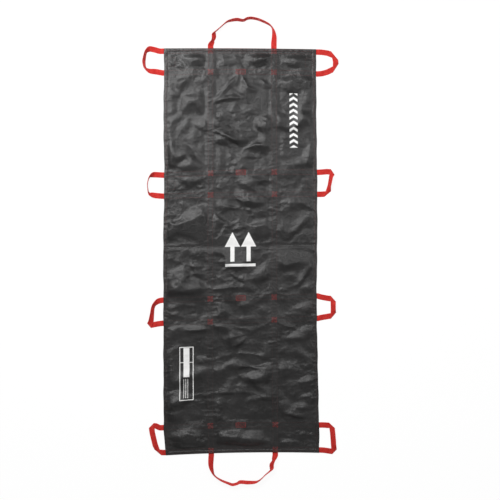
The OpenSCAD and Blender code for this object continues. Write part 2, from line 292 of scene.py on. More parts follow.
class Bench:
    """One material under construction."""

    def __init__(self, name: str) -> None:
        """Starts an empty node material of that name."""
        self.material = bpy.data.materials.new(name)
        self.material.use_nodes = True
        self.tree = self.material.node_tree
        self.tree.nodes.clear()

    def node(self, kind: str, settings: dict, inputs: dict, output: Union[int, str] = 0) -> Signal:
        """Adds a node.

        Args:
            kind: the node's type.
            settings: its properties, set before its sockets.
            inputs: values or signals by socket name or number.
            output: which output socket to hand back.

        Returns:
            That output.
        """
        made = self.tree.nodes.new(kind)
        for key, value in settings.items():
            setattr(made, key, value)
        for key, value in inputs.items():
            self.feed(made.inputs[key], value)
        return Signal(self, made.outputs[output])

    def feed(self, socket: bpy.types.NodeSocket, value: object) -> None:
        """Links a signal to an input, or sets the input's own value."""
        if isinstance(value, Signal):
            self.tree.links.new(value.socket, socket)
        else:
            socket.default_value = value

    def split(self, vector: Signal) -> tuple[Signal, Signal, Signal]:
        """The three parts of a vector."""
        first = self.node("ShaderNodeSeparateXYZ", {}, {"Vector": vector})
        outputs = first.socket.node.outputs
        return first, Signal(self, outputs[1]), Signal(self, outputs[2])

    def place(self) -> Signal:
        """A point's place in the object's own space."""
        return self.node("ShaderNodeTexCoord", {}, {}, "Object")

    def laid_place(self, layer: str) -> Signal:
        """A point's place on the laid-out goods, from a UV map in metres."""
        return self.node("ShaderNodeUVMap", {"uv_map": layer}, {})

    def noise(self, at: Signal, scale: float, detail: float = 2.0, roughness: float = 0.5) -> Signal:
        """Cloudy noise, about 0.5, at a number of cells a metre."""
        return self.node(
            "ShaderNodeTexNoise", {}, {"Vector": at, "Scale": scale, "Detail": detail, "Roughness": roughness}
        )

    def mix(self, share: Term, first: object, second: object) -> Signal:
        """Colour that goes from the first to the second as the share goes from 0 to 1."""
        made = self.node("ShaderNodeMix", {"data_type": "RGBA", "clamp_factor": True}, {0: share}, 2)
        self.feed(made.socket.node.inputs[6], first)
        self.feed(made.socket.node.inputs[7], second)
        return made

    def bump(self, height: Signal, strength: float, distance: float) -> Signal:
        """A normal from a height in shares of the distance in metres."""
        return self.node(
            "ShaderNodeBump", {}, {"Height": height, "Strength": strength, "Distance": distance}, "Normal"
        )

    def finish(self, fixed: dict[str, object], driven: dict[str, object]) -> bpy.types.Material:
        """Closes the material with one Principled surface.

        Args:
            fixed: values of sockets that are the same all over.
            driven: values or signals of the sockets that vary.

        Returns:
            The material.
        """
        shader = self.tree.nodes.new("ShaderNodeBsdfPrincipled")
        for key, value in {**fixed, **driven}.items():
            self.feed(shader.inputs[key], value)
        output = self.tree.nodes.new("ShaderNodeOutputMaterial")
        self.tree.links.new(shader.outputs[0], output.inputs["Surface"])
        return self.material


def grey(level: float) -> Colour:
    """An opaque grey."""
    return (level, level, level, 1.0)


# ---------------------------------------------------------------- finishes

# the UV maps of cloth and of webbing
LAID = "laid"
ALONG = "along"


@dataclass(frozen=True)
class Prints:
    """The white prints, as rectangles with a centre and half sizes, and what is cut from them.

    A slope is a share of the way along, and the share of a pitch is how much of it is white.
    """

    soft: float = 0.0006
    sign_bar: Box = ((-0.001, -0.060), (0.068, 0.0065))
    arrow_feet: tuple[Point, Point] = ((-0.037, -0.044), (0.035, -0.044))
    shaft_half: Point = (0.0095, 0.034)
    arrow_base: float = 0.066
    arrow_tip: float = 0.132
    arrow_slope: float = 0.52
    chevron_column: Box = ((0.239, 0.587), (0.0185, 0.1235))
    chevron_pitch: float = 0.0275
    chevron_start: float = 0.4635
    chevron_slope: float = 0.62
    chevron_share: float = 0.46
    chevron_soft: float = 0.03
    name_frame: Box = ((-0.2405, -0.5445), (0.0315, 0.1235))
    frame_line: float = 0.0035
    name_bar: Box = ((-0.2405, -0.493), (0.0315, 0.0017))
    name_strip: Box = ((-0.2405, -0.4935), (0.0135, 0.067))
    name_rules: Box = ((-0.2405, -0.613), (0.0135, 0.044))
    rule_pitch: float = 0.009
    rule_share: float = 0.30
    rule_soft: float = 0.05

    def _panel(self, x: Signal, y: Signal, box: Box) -> Signal:
        """A filled rectangle with a soft edge: 1 inside and 0 outside."""
        centre, half = box
        across = (half[0] - abs(x - centre[0])) / self.soft
        along = (half[1] - abs(y - centre[1])) / self.soft
        return across.lower(along).limited()

    def _arrow(self, x: Signal, y: Signal, foot: Point) -> Signal:
        """An arrow that points to the head end, with the middle of its foot at a point."""
        shaft = self._panel(x, y, ((foot[0], foot[1] + self.shaft_half[1]), self.shaft_half))
        slope = (self.arrow_tip - (y - foot[1])) * self.arrow_slope - abs(x - foot[0])
        above = (y - foot[1] - self.arrow_base) / self.soft
        return shaft.higher((slope / self.soft).lower(above).limited())

    def _up_sign(self, x: Signal, y: Signal) -> Signal:
        """Two arrows over a bar, on the sheet's middle."""
        first, second = (self._arrow(x, y, foot) for foot in self.arrow_feet)
        return first.higher(second).higher(self._panel(x, y, self.sign_bar))

    def _chevrons(self, x: Signal, y: Signal) -> Signal:
        """A column of chevrons on the right flap that shows the way to the head end."""
        pitch, middle = self.chevron_pitch, self.chevron_column[0][0]
        rise = ((y - self.chevron_start) / pitch + abs(x - middle) / pitch * self.chevron_slope).fraction()
        stripe = (self.chevron_share - rise) / self.chevron_soft
        return stripe.limited() * self._panel(x, y, self.chevron_column)

    def _name_panel(self, x: Signal, y: Signal) -> Signal:
        """An empty name panel on the left flap: a frame, a cross bar, a filled strip and ruled lines.

        Args:
            x: place across the sheet.
            y: place along the sheet.

        Returns:
            1 on its ink and 0 beside it.
        """
        centre, half = self.name_frame
        inner = (half[0] - self.frame_line, half[1] - self.frame_line)
        outline = self._panel(x, y, self.name_frame) * (1 - self._panel(x, y, (centre, inner)))
        parts = (self.name_bar, self.name_strip, self.name_rules)
        bar, strip, rules = (self._panel(x, y, box) for box in parts)
        phase = ((x - centre[0]) / self.rule_pitch + 0.5).fraction()
        ruled = ((self.rule_share - phase) / self.rule_soft).limited()
        return outline.higher(bar).higher(strip).higher(rules * ruled)

    def all(self, x: Signal, y: Signal) -> Signal:
        """Where there is ink: 1 on any print and 0 on the bare cloth."""
        return self._up_sign(x, y).higher(self._chevrons(x, y)).higher(self._name_panel(x, y))


@dataclass(frozen=True)
class CoatedNylon:
    """Black nylon with a coating that shines where it creases, and its white prints."""

    dark: Colour = (0.010, 0.0097, 0.0097, 1.0)
    light: Colour = (0.018, 0.0173, 0.0173, 1.0)
    scuffed: Colour = (0.052, 0.050, 0.050, 1.0)
    ink: Colour = (0.80, 0.80, 0.79, 1.0)
    thread_pitch: float = 0.0011
    prints: Prints = Prints()

    def _cracks(self, bench: Bench, at: Signal, cells: float, push: Point, line: float) -> Signal:
        """Ridges of a crumpled coating, along the borders of irregular cells.

        Args:
            bench: the material under construction.
            at: the place.
            cells: number of cells a metre.
            push: cells a metre and reach of the push that bends the borders.
            line: how far a ridge reaches from its border, in cells.

        Returns:
            1 on a border and 0 inside a cell.
        """
        borders = bench.node(
            "ShaderNodeTexVoronoi",
            {"feature": "DISTANCE_TO_EDGE"},
            {"Vector": self._bent(bench, at, *push), "Scale": cells, "Randomness": 1.0},
            "Distance",
        )
        return 1 - borders.band(0.0, line)

    def material(self) -> bpy.types.Material:
        """Builds the cloth's material: weave, crumpled coating, rubbed places and prints.

        Returns:
            The material, which reads the cloth's own UV map.
        """
        bench = Bench("coated_nylon")
        at = bench.laid_place(LAID)
        x, y, _ = bench.split(at)
        thread = 2 * math.pi / self.thread_pitch
        weave = (x * thread).sine() * (y * thread).sine()
        blotch = bench.noise(at, 9.0, 3.0, 0.55)
        handled = bench.noise(at, 34.0, 4.0, 0.6)
        grain = bench.noise(at, 900.0, 2.0, 0.5)
        ridge = self._cracks(bench, at, 30.0, (21.0, 0.02), 0.16)
        fine_ridge = self._cracks(bench, at, 85.0, (60.0, 0.008), 0.14)
        rubbed = ridge * handled.band(0.45, 0.7) * 0.6 + fine_ridge * handled.band(0.55, 0.8) * 0.35
        rubbed = rubbed.limited()
        worn = bench.noise(at, 420.0, 3.0, 0.65).band(0.30, 0.42)
        ink = self.prints.all(x, y) * (worn * 0.35 + 0.65)
        base = bench.mix(blotch.band(0.3, 0.7), self.dark, self.light)
        base = bench.mix(rubbed * 0.45, base, self.scuffed)
        colour = bench.mix(ink, base, self.ink)
        roughness = 0.36 + blotch * 0.10 + rubbed * 0.08 + grain * 0.05 + ink * 0.22
        height = weave * 0.05 + handled * 0.45 + ridge * 0.30 + fine_ridge * 0.12 + grain * 0.08 + ink * 0.05
        return bench.finish(
            {"Specular IOR Level": 0.50, "Sheen Weight": 0.05, "Sheen Roughness": 0.35, "Metallic": 0.0},
            {"Base Color": colour, "Roughness": roughness, "Normal": bench.bump(height, 0.55, 0.0022)},
        )

    @staticmethod
    def _bent(bench: Bench, at: Signal, scale: float, reach: float) -> Signal:
        """The same place pushed about a little, by clouds of that scale, so that a pattern on it wanders."""
        push = bench.node("ShaderNodeTexNoise", {}, {"Vector": at, "Scale": scale, "Detail": 2.0}, "Color")
        centred = bench.node("ShaderNodeVectorMath", {"operation": "SUBTRACT"}, {0: push, 1: (0.5, 0.5, 0.5)})
        scaled = bench.node("ShaderNodeVectorMath", {"operation": "SCALE"}, {0: centred, "Scale": reach})
        return bench.node("ShaderNodeVectorMath", {"operation": "ADD"}, {0: at, 1: scaled})


@dataclass(frozen=True)
class Webbing:
    """Red nylon webbing: ribs along it, weft across them, a bound selvedge and a little fuzz, with painted
    shade in the grooves of its weave.
    """

    name: str = "red_webbing"
    red: Colour = (0.67, 0.032, 0.025, 1.0)
    # darker red: painted shade in the grooves of the weave, and the colour of random soil
    groove_shade_and_soil: Colour = (0.36, 0.012, 0.010, 1.0)
    faded: Colour = (0.82, 0.075, 0.058, 1.0)
    rib: float = 0.0017
    weft: float = 0.0013
    half_width: float = 0.0125
    binding: float = 0.0016
    binding_soft: float = 0.0006

    def material(self) -> bpy.types.Material:
        """Builds the webbing's material.

        Returns:
            The material, which reads the ribbon's own UV map: along it, and across from its middle.
        """
        bench = Bench(self.name)
        at = bench.laid_place(ALONG)
        along, across, _ = bench.split(at)
        rib = (across * (math.pi / self.rib)).sine()
        shift = (across / self.rib).whole() * 0.5
        weft = ((along / self.weft + shift) * (2 * math.pi)).sine()
        selvedge = (abs(across) - (self.half_width - self.binding)).band(0.0, self.binding_soft)
        weave = (abs(rib) * (weft * 0.35 + 0.65)) * (1 - selvedge) + selvedge * (weft * 0.15 + 0.85)
        cloud = bench.noise(at, 55.0, 3.0, 0.6)
        fibre = bench.noise(at, 1500.0, 2.0, 0.6)
        soiled = bench.noise(at, 16.0, 4.0, 0.6).band(0.52, 0.75)
        # painted shade: the grooves between the ribs and the wefts take the darker red
        base = bench.mix(weave.band(0.15, 0.75), self.groove_shade_and_soil, self.red)
        base = bench.mix(cloud.band(0.35, 0.75) * 0.30, base, self.faded)
        # random soil, in the same darker red
        colour = bench.mix(soiled * 0.22, base, self.groove_shade_and_soil)
        roughness = 0.62 + fibre * 0.12 + soiled * 0.08 - weave * 0.06
        return bench.finish(
            {"Specular IOR Level": 0.16, "Sheen Weight": 0.04, "Sheen Roughness": 0.5, "Metallic": 0.0},
            {
                "Base Color": colour,
                "Roughness": roughness,
                "Normal": bench.bump(weave + fibre * 0.2, 0.6, 0.0005),
            },
        )


@dataclass(frozen=True)
class Thread:
    """Bonded sewing thread, twisted from three plies, with foot_share of its colour at the foot end as
    painted shade.
    """

    name: str
    colour: Colour
    shade: Colour
    foot_share: float = 1.0
    ply_pitch: float = 0.0009

    def material(self) -> bpy.types.Material:
        """Builds the thread's material.

        Returns:
            The material, which reads places in the object's own space.
        """
        bench = Bench(self.name)
        at = bench.place()
        x, y, _ = bench.split(at)
        ply = ((x + y) * (2 * math.pi / self.ply_pitch)).sine()
        dust = bench.noise(at, 130.0, 3.0, 0.6)
        # painted shade: the thread gets darker towards the foot end, down to foot_share of its colour
        foot_shade = y.band(-0.25, 0.15, self.foot_share, 1.0)
        # painted shade between the plies of the twist, with random dust over it
        colour = bench.mix(((ply * 0.25 + 0.5 + (dust - 0.5)) * foot_shade).limited(), self.shade, self.colour)
        return bench.finish(
            {"Specular IOR Level": 0.4, "Sheen Weight": 0.1, "Metallic": 0.0},
            {
                "Base Color": colour,
                "Roughness": 0.5 + dust * 0.2,
                "Normal": bench.bump(ply * 0.5 + dust, 0.35, 0.0002),
            },
        )


BRIGHT_THREAD = Thread("bright_red_thread", (0.52, 0.030, 0.026, 1.0), (0.26, 0.012, 0.012, 1.0))
# painted shade: the dull thread keeps only a quarter of its colour at the foot end
DULL_THREAD = Thread("dark_red_thread", (0.190, 0.034, 0.034, 1.0), (0.030, 0.012, 0.012, 1.0), 0.25)


@dataclass(frozen=True)
class PatchCloth:
    """Heavier black cloth with a coarse plain weave, its gaps painted darker as shade, for the patches under
    the edges.
    """

    # dark and light: painted shade in the weave's gaps and painted light on its tops, with random tone
    dark: Colour = (0.018, 0.018, 0.019, 1.0)
    light: Colour = (0.050, 0.050, 0.052, 1.0)
    pitch: float = 0.0016

    def material(self) -> bpy.types.Material:
        """Builds the patch's material.

        Returns:
            The material, which reads the patch's own UV map.
        """
        bench = Bench("patch_nylon")
        at = bench.laid_place(LAID)
        x, y, _ = bench.split(at)
        warp = (x * (math.pi / self.pitch)).sine()
        weft = (y * (math.pi / self.pitch)).sine()
        weave = abs(warp * weft)
        fluff = bench.noise(at, 700.0, 3.0, 0.6)
        cloud = bench.noise(at, 60.0, 3.0, 0.6)
        # painted shade in the gaps of the weave and painted light on the threads' tops, over random clouds of
        # tone
        colour = bench.mix((weave * 0.5 + cloud * 0.6).limited(), self.dark, self.light)
        return bench.finish(
            {"Specular IOR Level": 0.35, "Sheen Weight": 0.12, "Metallic": 0.0},
            {
                "Base Color": colour,
                "Roughness": 0.66 + fluff * 0.15,
                "Normal": bench.bump(weave + fluff * 0.3, 0.6, 0.0004),
            },
        )


# ---------------------------------------------------------------- the cloth's relief


def catmull(rows: np.ndarray, steps: int) -> np.ndarray:
    """A smooth curve through rows of numbers.

    Args:
        rows: the points, one a row.
        steps: how many points come out for each stretch.

    Returns:
        The curve's points.
    """
    padded = np.vstack([rows[:1], rows, rows[-1:]])
    a, b, c, d = padded[:-3], padded[1:-2], padded[2:-1], padded[3:]
    u = np.arange(steps)[None, :, None] / steps
    a, b, c, d = (v[:, None, :] for v in (a, b, c, d))
    out = (2 * b + (c - a) * u + (2 * a - 5 * b + 4 * c - d) * u**2 + (3 * b - a - 3 * c + d) * u**3) / 2
    return np.vstack([out.reshape(-1, rows.shape[1]), rows[-1:]])


@dataclass
class Settling:
    """A loose sheet, pinned along its seams, that settles onto the floor in a cloth simulation."""

    layout: Layout = LAYOUT
    columns: int = 86
    rows: int = 229
    frames: int = 30
    looseness: float = 0.006
    bending: float = 60.0

    def _stiffness(self, settings: bpy.types.ClothSettings) -> None:
        """Gives the cloth the stiffness of coated nylon, and more area than its seams leave it.

        Args:
            settings: the simulation's own settings.
        """
        settings.quality = 6
        settings.mass = 0.15
        settings.tension_stiffness = settings.compression_stiffness = 40.0
        settings.shear_stiffness = 20.0
        settings.bending_stiffness = self.bending
        settings.tension_damping = settings.compression_damping = settings.shear_damping = 5.0
        settings.air_damping = 2.0
        settings.shrink_min = -self.looseness
        settings.vertex_group_mass = "pins"

    def _floor(self) -> bpy.types.Object:
        """A floor for the cloth to rest on, while it settles."""
        shape = bmesh.new()
        bmesh.ops.create_grid(shape, x_segments=1, y_segments=1, size=2.0)
        mesh = bpy.data.meshes.new("settling_floor")
        shape.to_mesh(mesh)
        shape.free()
        made = bpy.data.objects.new("settling_floor", mesh)
        bpy.context.scene.collection.objects.link(made)
        made.modifiers.new("floor", "COLLISION")
        made.collision.thickness_outer = 0.001
        made.collision.cloth_friction = 8.0
        return made

    def settle(self, heights: np.ndarray, pinned: np.ndarray) -> np.ndarray:
        """Runs the simulation.

        Args:
            heights: the sheet's first heights, one row of the grid after another.
            pinned: which of its points the seams hold.

        Returns:
            The settled heights, in the same order.
        """
        lay = self.layout
        shape = bmesh.new()
        bmesh.ops.create_grid(shape, x_segments=self.columns, y_segments=self.rows, size=0.5)
        bmesh.ops.scale(shape, vec=(2 * lay.half_width, 2 * lay.half_length, 1), verts=shape.verts)
        mesh = bpy.data.meshes.new("settling_cloth")
        shape.to_mesh(mesh)
        shape.free()
        places = np.empty(len(mesh.vertices) * 3)
        mesh.vertices.foreach_get("co", places)
        places = places.reshape(-1, 3)
        column = np.rint((places[:, 0] / lay.half_width + 1) / 2 * self.columns).astype(int)
        row = np.rint((places[:, 1] / lay.half_length + 1) / 2 * self.rows).astype(int)
        places[:, 2] = heights[row, column]
        mesh.vertices.foreach_set("co", places.ravel())
        cloth = bpy.data.objects.new("settling_cloth", mesh)
        bpy.context.scene.collection.objects.link(cloth)
        pins = cloth.vertex_groups.new(name="pins")
        pins.add([int(i) for i in np.nonzero(pinned[row, column])[0]], 1.0, "REPLACE")
        floor = self._floor()
        modifier = cloth.modifiers.new("settling", "CLOTH")
        self._stiffness(modifier.settings)
        modifier.collision_settings.distance_min = 0.001
        modifier.point_cache.frame_end = self.frames
        scene = bpy.context.scene
        for number in range(1, self.frames + 1):
            scene.frame_set(number)
        settled = cloth.evaluated_get(bpy.context.evaluated_depsgraph_get())
        settled.data.vertices.foreach_get("co", flat := np.empty(len(mesh.vertices) * 3))
        out = np.array(heights, float)
        out[row, column] = flat.reshape(-1, 3)[:, 2]
        scene.frame_set(1)
        for used in (cloth, floor):
            data = used.data
            bpy.data.objects.remove(used)
            bpy.data.meshes.remove(data)
        return out


@dataclass
class Relief:
    """How high the cloth's underside lies above the floor, all over the laid sheet, on an even grid.

    The cloth is held down along every seam and rises between them in the folds of a sheet that has been
    packed and shaken out. The simulation runs on a coarse grid, and this one is finer by a whole number.
    A fold as wide as wide_fold or wider takes part in it, and a narrower one half. The heights are those
    of random surfaces of deviation 1: a facet's and the grain's first is for smooth cloth, and the second
    is what full crumpling adds. A pucker has a reach and a height, and the lip beside the mid crease a
    height, a distance from it and a width.
    """

    layout: Layout = LAYOUT
    settling: Settling = field(default_factory=Settling)
    finer: int = 4
    step: float = 0.002
    seed: int = 4178
    seam_reach: float = 0.030
    gentleness: float = 1.6
    slack: float = 0.55
    shoulder: float = 0.018
    wide_fold: float = 0.0135
    swell: float = 0.0075
    small_swell: float = 0.0020
    hill: float = 0.0055
    facet: Point = (0.0008, 0.0026)
    small_facet: float = 0.0012
    grain: Point = (0.00012, 0.0003)
    rail_pucker: Point = (0.020, 0.0034)
    side_pucker: Point = (0.016, 0.0013)
    end_pucker: Point = (0.016, 0.0010)
    leg_pucker: Point = (0.016, 0.0008)
    lowest: float = 0.0002
    ground_soft: float = 0.0012
    ceiling_soft: float = 0.0005
    lip: tuple[float, float, float] = (0.0012, 0.011, 0.006)
    crease_reach: float = 0.007
    crease_range: tuple[float, float] = (0.0020, 0.0026)
    heights: np.ndarray = field(init=False, repr=False)
    xs: np.ndarray = field(init=False, repr=False)
    ys: np.ndarray = field(init=False, repr=False)

    def __post_init__(self) -> None:
        """Works out the heights once."""
        reach_x, reach_y = self.layout.half_width, self.layout.half_length
        self.xs = np.linspace(-reach_x, reach_x, self.settling.columns * self.finer + 1)
        self.ys = np.linspace(-reach_y, reach_y, self.settling.rows * self.finer + 1)
        self.heights = self._heights()

    # -- building blocks

    def _field(
        self, wavelength: float, seed: int, spread: float = 0.35, stretch: float = 1.0, turn: float = 0.0
    ) -> np.ndarray:
        """A random smooth surface whose bumps have about one wavelength.

        Args:
            wavelength: distance from crest to crest, in metres.
            seed: what the randomness starts from.
            spread: how far the wavelengths vary about that one, as a share.
            stretch: how much longer the bumps are along the turned X than across it.
            turn: angle of that long way from X, in degrees.

        Returns:
            Values of mean 0 and deviation 1 on the grid.
        """
        random = np.random.default_rng(self.seed + seed)
        shape = (len(self.ys), len(self.xs))
        white = random.standard_normal(shape)
        fy = np.fft.fftfreq(shape[0], self.step)[:, None]
        fx = np.fft.rfftfreq(shape[1], self.step)[None, :]
        c, s = math.cos(math.radians(turn)), math.sin(math.radians(turn))
        along = (fx * c + fy * s) * stretch
        across = -fx * s + fy * c
        size = np.sqrt(along**2 + across**2) * wavelength
        keep = np.exp(-((size - 1.0) ** 2) / (2 * spread**2))
        made = np.fft.irfft2(np.fft.rfft2(white) * keep, s=shape)
        return (made - made.mean()) / made.std()

    @staticmethod
    def _ease(values: np.ndarray) -> np.ndarray:
        """Smoothstep of values kept from 0 to 1."""
        t = np.clip(values, 0, 1)
        return t * t * (3 - 2 * t)

    def _grid(self) -> tuple[np.ndarray, np.ndarray]:
        """The grid's x and y, each as a whole array."""
        return np.meshgrid(self.xs, self.ys)

    def _seam_distance(self, x: np.ndarray, y: np.ndarray) -> np.ndarray:
        """Distance to the nearest line of stitching, in metres.

        Args:
            x: the grid's x.
            y: the grid's y.

        Returns:
            The distance, 0 on the webbing itself.
        """
        lay = self.layout
        line = lay.hem / 2
        near = np.minimum(lay.half_width - line - np.abs(x), lay.half_length - line - np.abs(y))
        near = np.maximum(near, 0)
        for rail in lay.rails:
            near = np.minimum(near, np.maximum(np.abs(x - rail) - lay.webbing / 2, 0))
        for leg in lay.legs:
            near = np.minimum(near, np.maximum(np.abs(y - leg) - lay.webbing / 2, 0))
        return near

    def _webbing_top(self, x: np.ndarray, y: np.ndarray) -> np.ndarray:
        """Top of the webbing under each point, 0 where there is none.

        Args:
            x: the grid's x.
            y: the grid's y.

        Returns:
            The height, with soft shoulders.
        """
        lay = self.layout
        top = np.zeros_like(x)
        half = lay.webbing / 2 - 0.002
        soft = self.shoulder
        for leg in lay.legs:
            off = np.abs(y - leg)
            top = np.maximum(top, lay.webbing_thick * self._ease((half + soft - off) / soft))
        for number in NUMBERS:
            off = np.maximum(np.abs(y - lay.lap_line(number)) - half, np.abs(x) - lay.lap / 2)
            top = np.maximum(top, 2 * lay.webbing_thick * self._ease((soft - off) / soft))
        for rail in lay.rails:
            off = np.abs(x - rail)
            top = np.maximum(top, 2 * lay.webbing_thick * self._ease((half + soft - off) / soft))
        return top

    def _fold(
        self,
        x: np.ndarray,
        y: np.ndarray,
        points: Sequence[Point],
        width: float,
        height: float,
        sharp: float = 1.0,
    ) -> np.ndarray:
        """One fold that runs along a bent line and fades out at its ends.

        Args:
            x: the grid's x.
            y: the grid's y.
            points: the line's corners.
            width: distance from the crest to where its steep side has mostly gone, to the left.
            height: height of the crest, negative for a valley.
            sharp: 1 for a tent, 2 for a round back.

        Returns:
            The height that the fold adds.
        """
        line = np.array(points, float)
        lengths = np.hypot(*(line[1:] - line[:-1]).T)
        run = np.concatenate([[0], np.cumsum(lengths)])
        best = np.full(x.shape, 1e9)
        where = np.zeros(x.shape)
        gentle = np.zeros(x.shape)
        for a, b, start, length in zip(line[:-1], line[1:], run[:-1], lengths):
            t = np.clip(((x - a[0]) * (b[0] - a[0]) + (y - a[1]) * (b[1] - a[1])) / length**2, 0, 1)
            off = np.hypot(x - a[0] - t * (b[0] - a[0]), y - a[1] - t * (b[1] - a[1]))
            closer = off < best
            beside = ((x - a[0]) * (b[1] - a[1]) - (y - a[1]) * (b[0] - a[0])) / length
            best = np.where(closer, off, best)
            where = np.where(closer, start + t * length, where)
            gentle = np.where(closer, self._ease(0.5 + beside / (2 * width)), gentle)
        share = where / run[-1]
        fade = np.sin(np.pi * np.clip(share, 0.02, 0.98)) ** 0.6
        return height * fade * np.exp(-((best / (width * (1 + self.gentleness * gentle))) ** sharp) * 1.8)

    def _puckers(self, seam: float, down: bool, size: Point, seed: int) -> np.ndarray:
        """Short ripples square to a seam, as thread that has drawn up leaves them.

        Args:
            seam: the seam's x where it runs down the sheet, or its y where it runs across.
            down: whether it runs down the sheet.
            size: how far the ripples run out from it, and the height of a full one.
            seed: what the randomness starts from.

        Returns:
            The height that the ripples add, all over the grid.
        """
        reach, height = size
        random = np.random.default_rng(self.seed + seed)
        run, beside = (self.ys, self.xs) if down else (self.xs, self.ys)
        out = np.zeros((len(run), len(beside)))
        near = np.abs(beside - seam) < 2.6 * reach
        off = beside[near] - seam
        place = run[0] - 0.01
        while place < run[-1] + 0.01:
            place += random.uniform(0.006, 0.017)
            power, width = random.uniform(0.25, 1.0), random.uniform(0.0022, 0.0045)
            length, slant = random.uniform(0.5, 1.3), random.uniform(-0.25, 0.25)
            rows = np.abs(run - place) < 0.025
            profile = np.exp(-(((run[rows][:, None] - place - slant * off) / width) ** 2))
            out[np.ix_(rows, near)] += power * profile * np.exp(-((np.abs(off) / (reach * length)) ** 2))
        return height * (out if down else out.T)

    # -- the whole surface

    FOLDS = (
        # corners of the line, width, height, sharpness; the gentle side is to the right of the line
        (((-0.130, 0.666), (-0.067, 0.729), (-0.017, 0.787), (-0.010, 0.812)), 0.008, 0.0080, 1.0),
        (((0.007, 0.812), (0.010, 0.775), (0.034, 0.732), (0.080, 0.715)), 0.009, 0.0075, 1.0),
        (((0.090, 0.770), (0.130, 0.735)), 0.008, 0.0045, 1.0),
        (((0.014, 0.688), (-0.067, 0.684), (-0.130, 0.661)), 0.008, 0.0065, 1.0),
        (((-0.040, 0.724), (0.014, 0.688)), 0.006, -0.0050, 1.0),
        (((-0.002, 0.806), (-0.022, 0.735)), 0.006, 0.0050, 1.0),
        (((0.068, 0.819), (0.055, 0.900)), 0.007, 0.0045, 1.0),
        (((-0.035, 0.895), (-0.020, 0.870), (-0.004, 0.860)), 0.007, 0.0040, 1.0),
        (((0.020, 0.640), (0.050, 0.560), (0.115, 0.500)), 0.030, -0.0080, 1.4),
        (((-0.008, 0.600), (-0.060, 0.590), (-0.130, 0.560)), 0.010, 0.0065, 1.0),
        (((-0.004, 0.445), (-0.013, 0.486), (-0.067, 0.522), (-0.125, 0.540)), 0.009, 0.0070, 1.0),
        (((-0.085, 0.513), (-0.040, 0.490), (-0.008, 0.470)), 0.006, -0.0060, 1.0),
        (((-0.004, 0.450), (0.068, 0.477), (0.131, 0.468)), 0.010, 0.0075, 1.1),
        (((0.300, 0.620), (0.250, 0.560), (0.190, 0.540)), 0.018, 0.0065, 1.2),
        (((-0.255, -0.010), (-0.215, -0.099), (-0.165, -0.132)), 0.015, -0.0095, 1.1),
        (((0.020, -0.160), (-0.050, -0.158), (-0.120, -0.165), (-0.197, -0.155)), 0.011, 0.0085, 1.0),
        (((-0.067, -0.085), (-0.008, -0.135), (0.023, -0.144)), 0.007, -0.0085, 1.0),
        (((0.315, -0.070), (0.262, -0.150), (0.170, -0.185)), 0.014, 0.0095, 1.1),
        (((0.194, -0.018), (0.185, -0.081), (0.163, -0.180)), 0.012, -0.0065, 1.1),
        (
            (
                (-0.040, -0.345), (-0.094, -0.330), (-0.148, -0.345),
                (-0.228, -0.345), (-0.264, -0.330), (-0.309, -0.340),
            ),
            0.011, 0.0080, 1.0,
        ),
        (((0.300, -0.330), (0.210, -0.345), (0.150, -0.310), (0.080, -0.345)), 0.010, 0.0060, 1.0),
        (((-0.19, 0.80), (-0.235, 0.79), (-0.29, 0.735)), 0.030, 0.010, 1.5),
        (((-0.28, 0.71), (-0.21, 0.705)), 0.016, -0.004, 1.2),
        (((0.21, 0.50), (0.16, 0.51), (0.26, 0.505)), 0.016, 0.005, 1.1),
        (((-0.19, 0.40), (-0.25, 0.44), (-0.30, 0.41)), 0.020, 0.007, 1.3),
        (((0.05, 0.43), (0.0, 0.41), (-0.06, 0.39)), 0.016, 0.005, 1.3),
        (((-0.20, 0.24), (-0.28, 0.25)), 0.014, 0.004, 1.2),
        (((0.07, 0.165), (-0.015, 0.15), (-0.06, 0.10)), 0.018, 0.007, 1.2),
        (((-0.09, 0.05), (-0.075, 0.10), (-0.06, 0.13)), 0.014, 0.004, 1.2),
        (((0.30, 0.16), (0.25, 0.10), (0.18, 0.05)), 0.022, 0.007, 1.3),
        (((0.03, -0.37), (0.0, -0.375), (-0.06, -0.39)), 0.012, 0.005, 1.0),
        (((0.03, -0.38), (0.0, -0.41), (-0.05, -0.43)), 0.010, 0.006, 1.0),
        (((0.30, -0.40), (0.25, -0.395), (0.18, -0.40)), 0.016, 0.006, 1.1),
        (((0.27, -0.465), (0.17, -0.46)), 0.016, 0.005, 1.1),
        (((0.02, -0.64), (-0.12, -0.64), (-0.16, -0.66)), 0.010, 0.007, 1.0),
        (((0.17, -0.665), (0.10, -0.665), (0.03, -0.68)), 0.014, 0.008, 1.1),
        (((0.03, -0.66), (0.035, -0.72), (0.07, -0.75)), 0.016, 0.006, 1.1),
        (((-0.17, -0.67), (-0.25, -0.67), (-0.31, -0.685)), 0.014, 0.005, 1.1),
        (((0.30, -0.76), (0.25, -0.75), (0.19, -0.735)), 0.010, 0.007, 1.0),
        (((0.005, -0.80), (-0.02, -0.85), (-0.08, -0.83)), 0.014, 0.006, 1.1),
        (((0.08, -0.80), (0.11, -0.85)), 0.016, 0.005, 1.2),
        (((-0.20, -0.84), (-0.27, -0.80)), 0.018, 0.005, 1.3),
    )

    def _folds(self, x: np.ndarray, y: np.ndarray, low: float, high: float) -> np.ndarray:
        """The folds that are placed one by one, of those whose width lies between two.

        Args:
            x: the grid's x.
            y: the grid's y.
            low: the least width.
            high: the width that is too much.

        Returns:
            The height that they add.
        """
        out = np.zeros_like(x)
        for points, width, height, sharp in self.FOLDS:
            if low <= width < high:
                out += self._fold(x, y, points, width, height, sharp)
        return out

    LONG_CREASES = ((0.006, 0.008, 0.0012),)
    CROSS_CREASES = ((0.682, 0.007, 0.0012), (-0.30, 0.006, 0.0012), (-0.612, 0.006, 0.0015))
    FLAP_CREASE = (0.010, 0.0003)

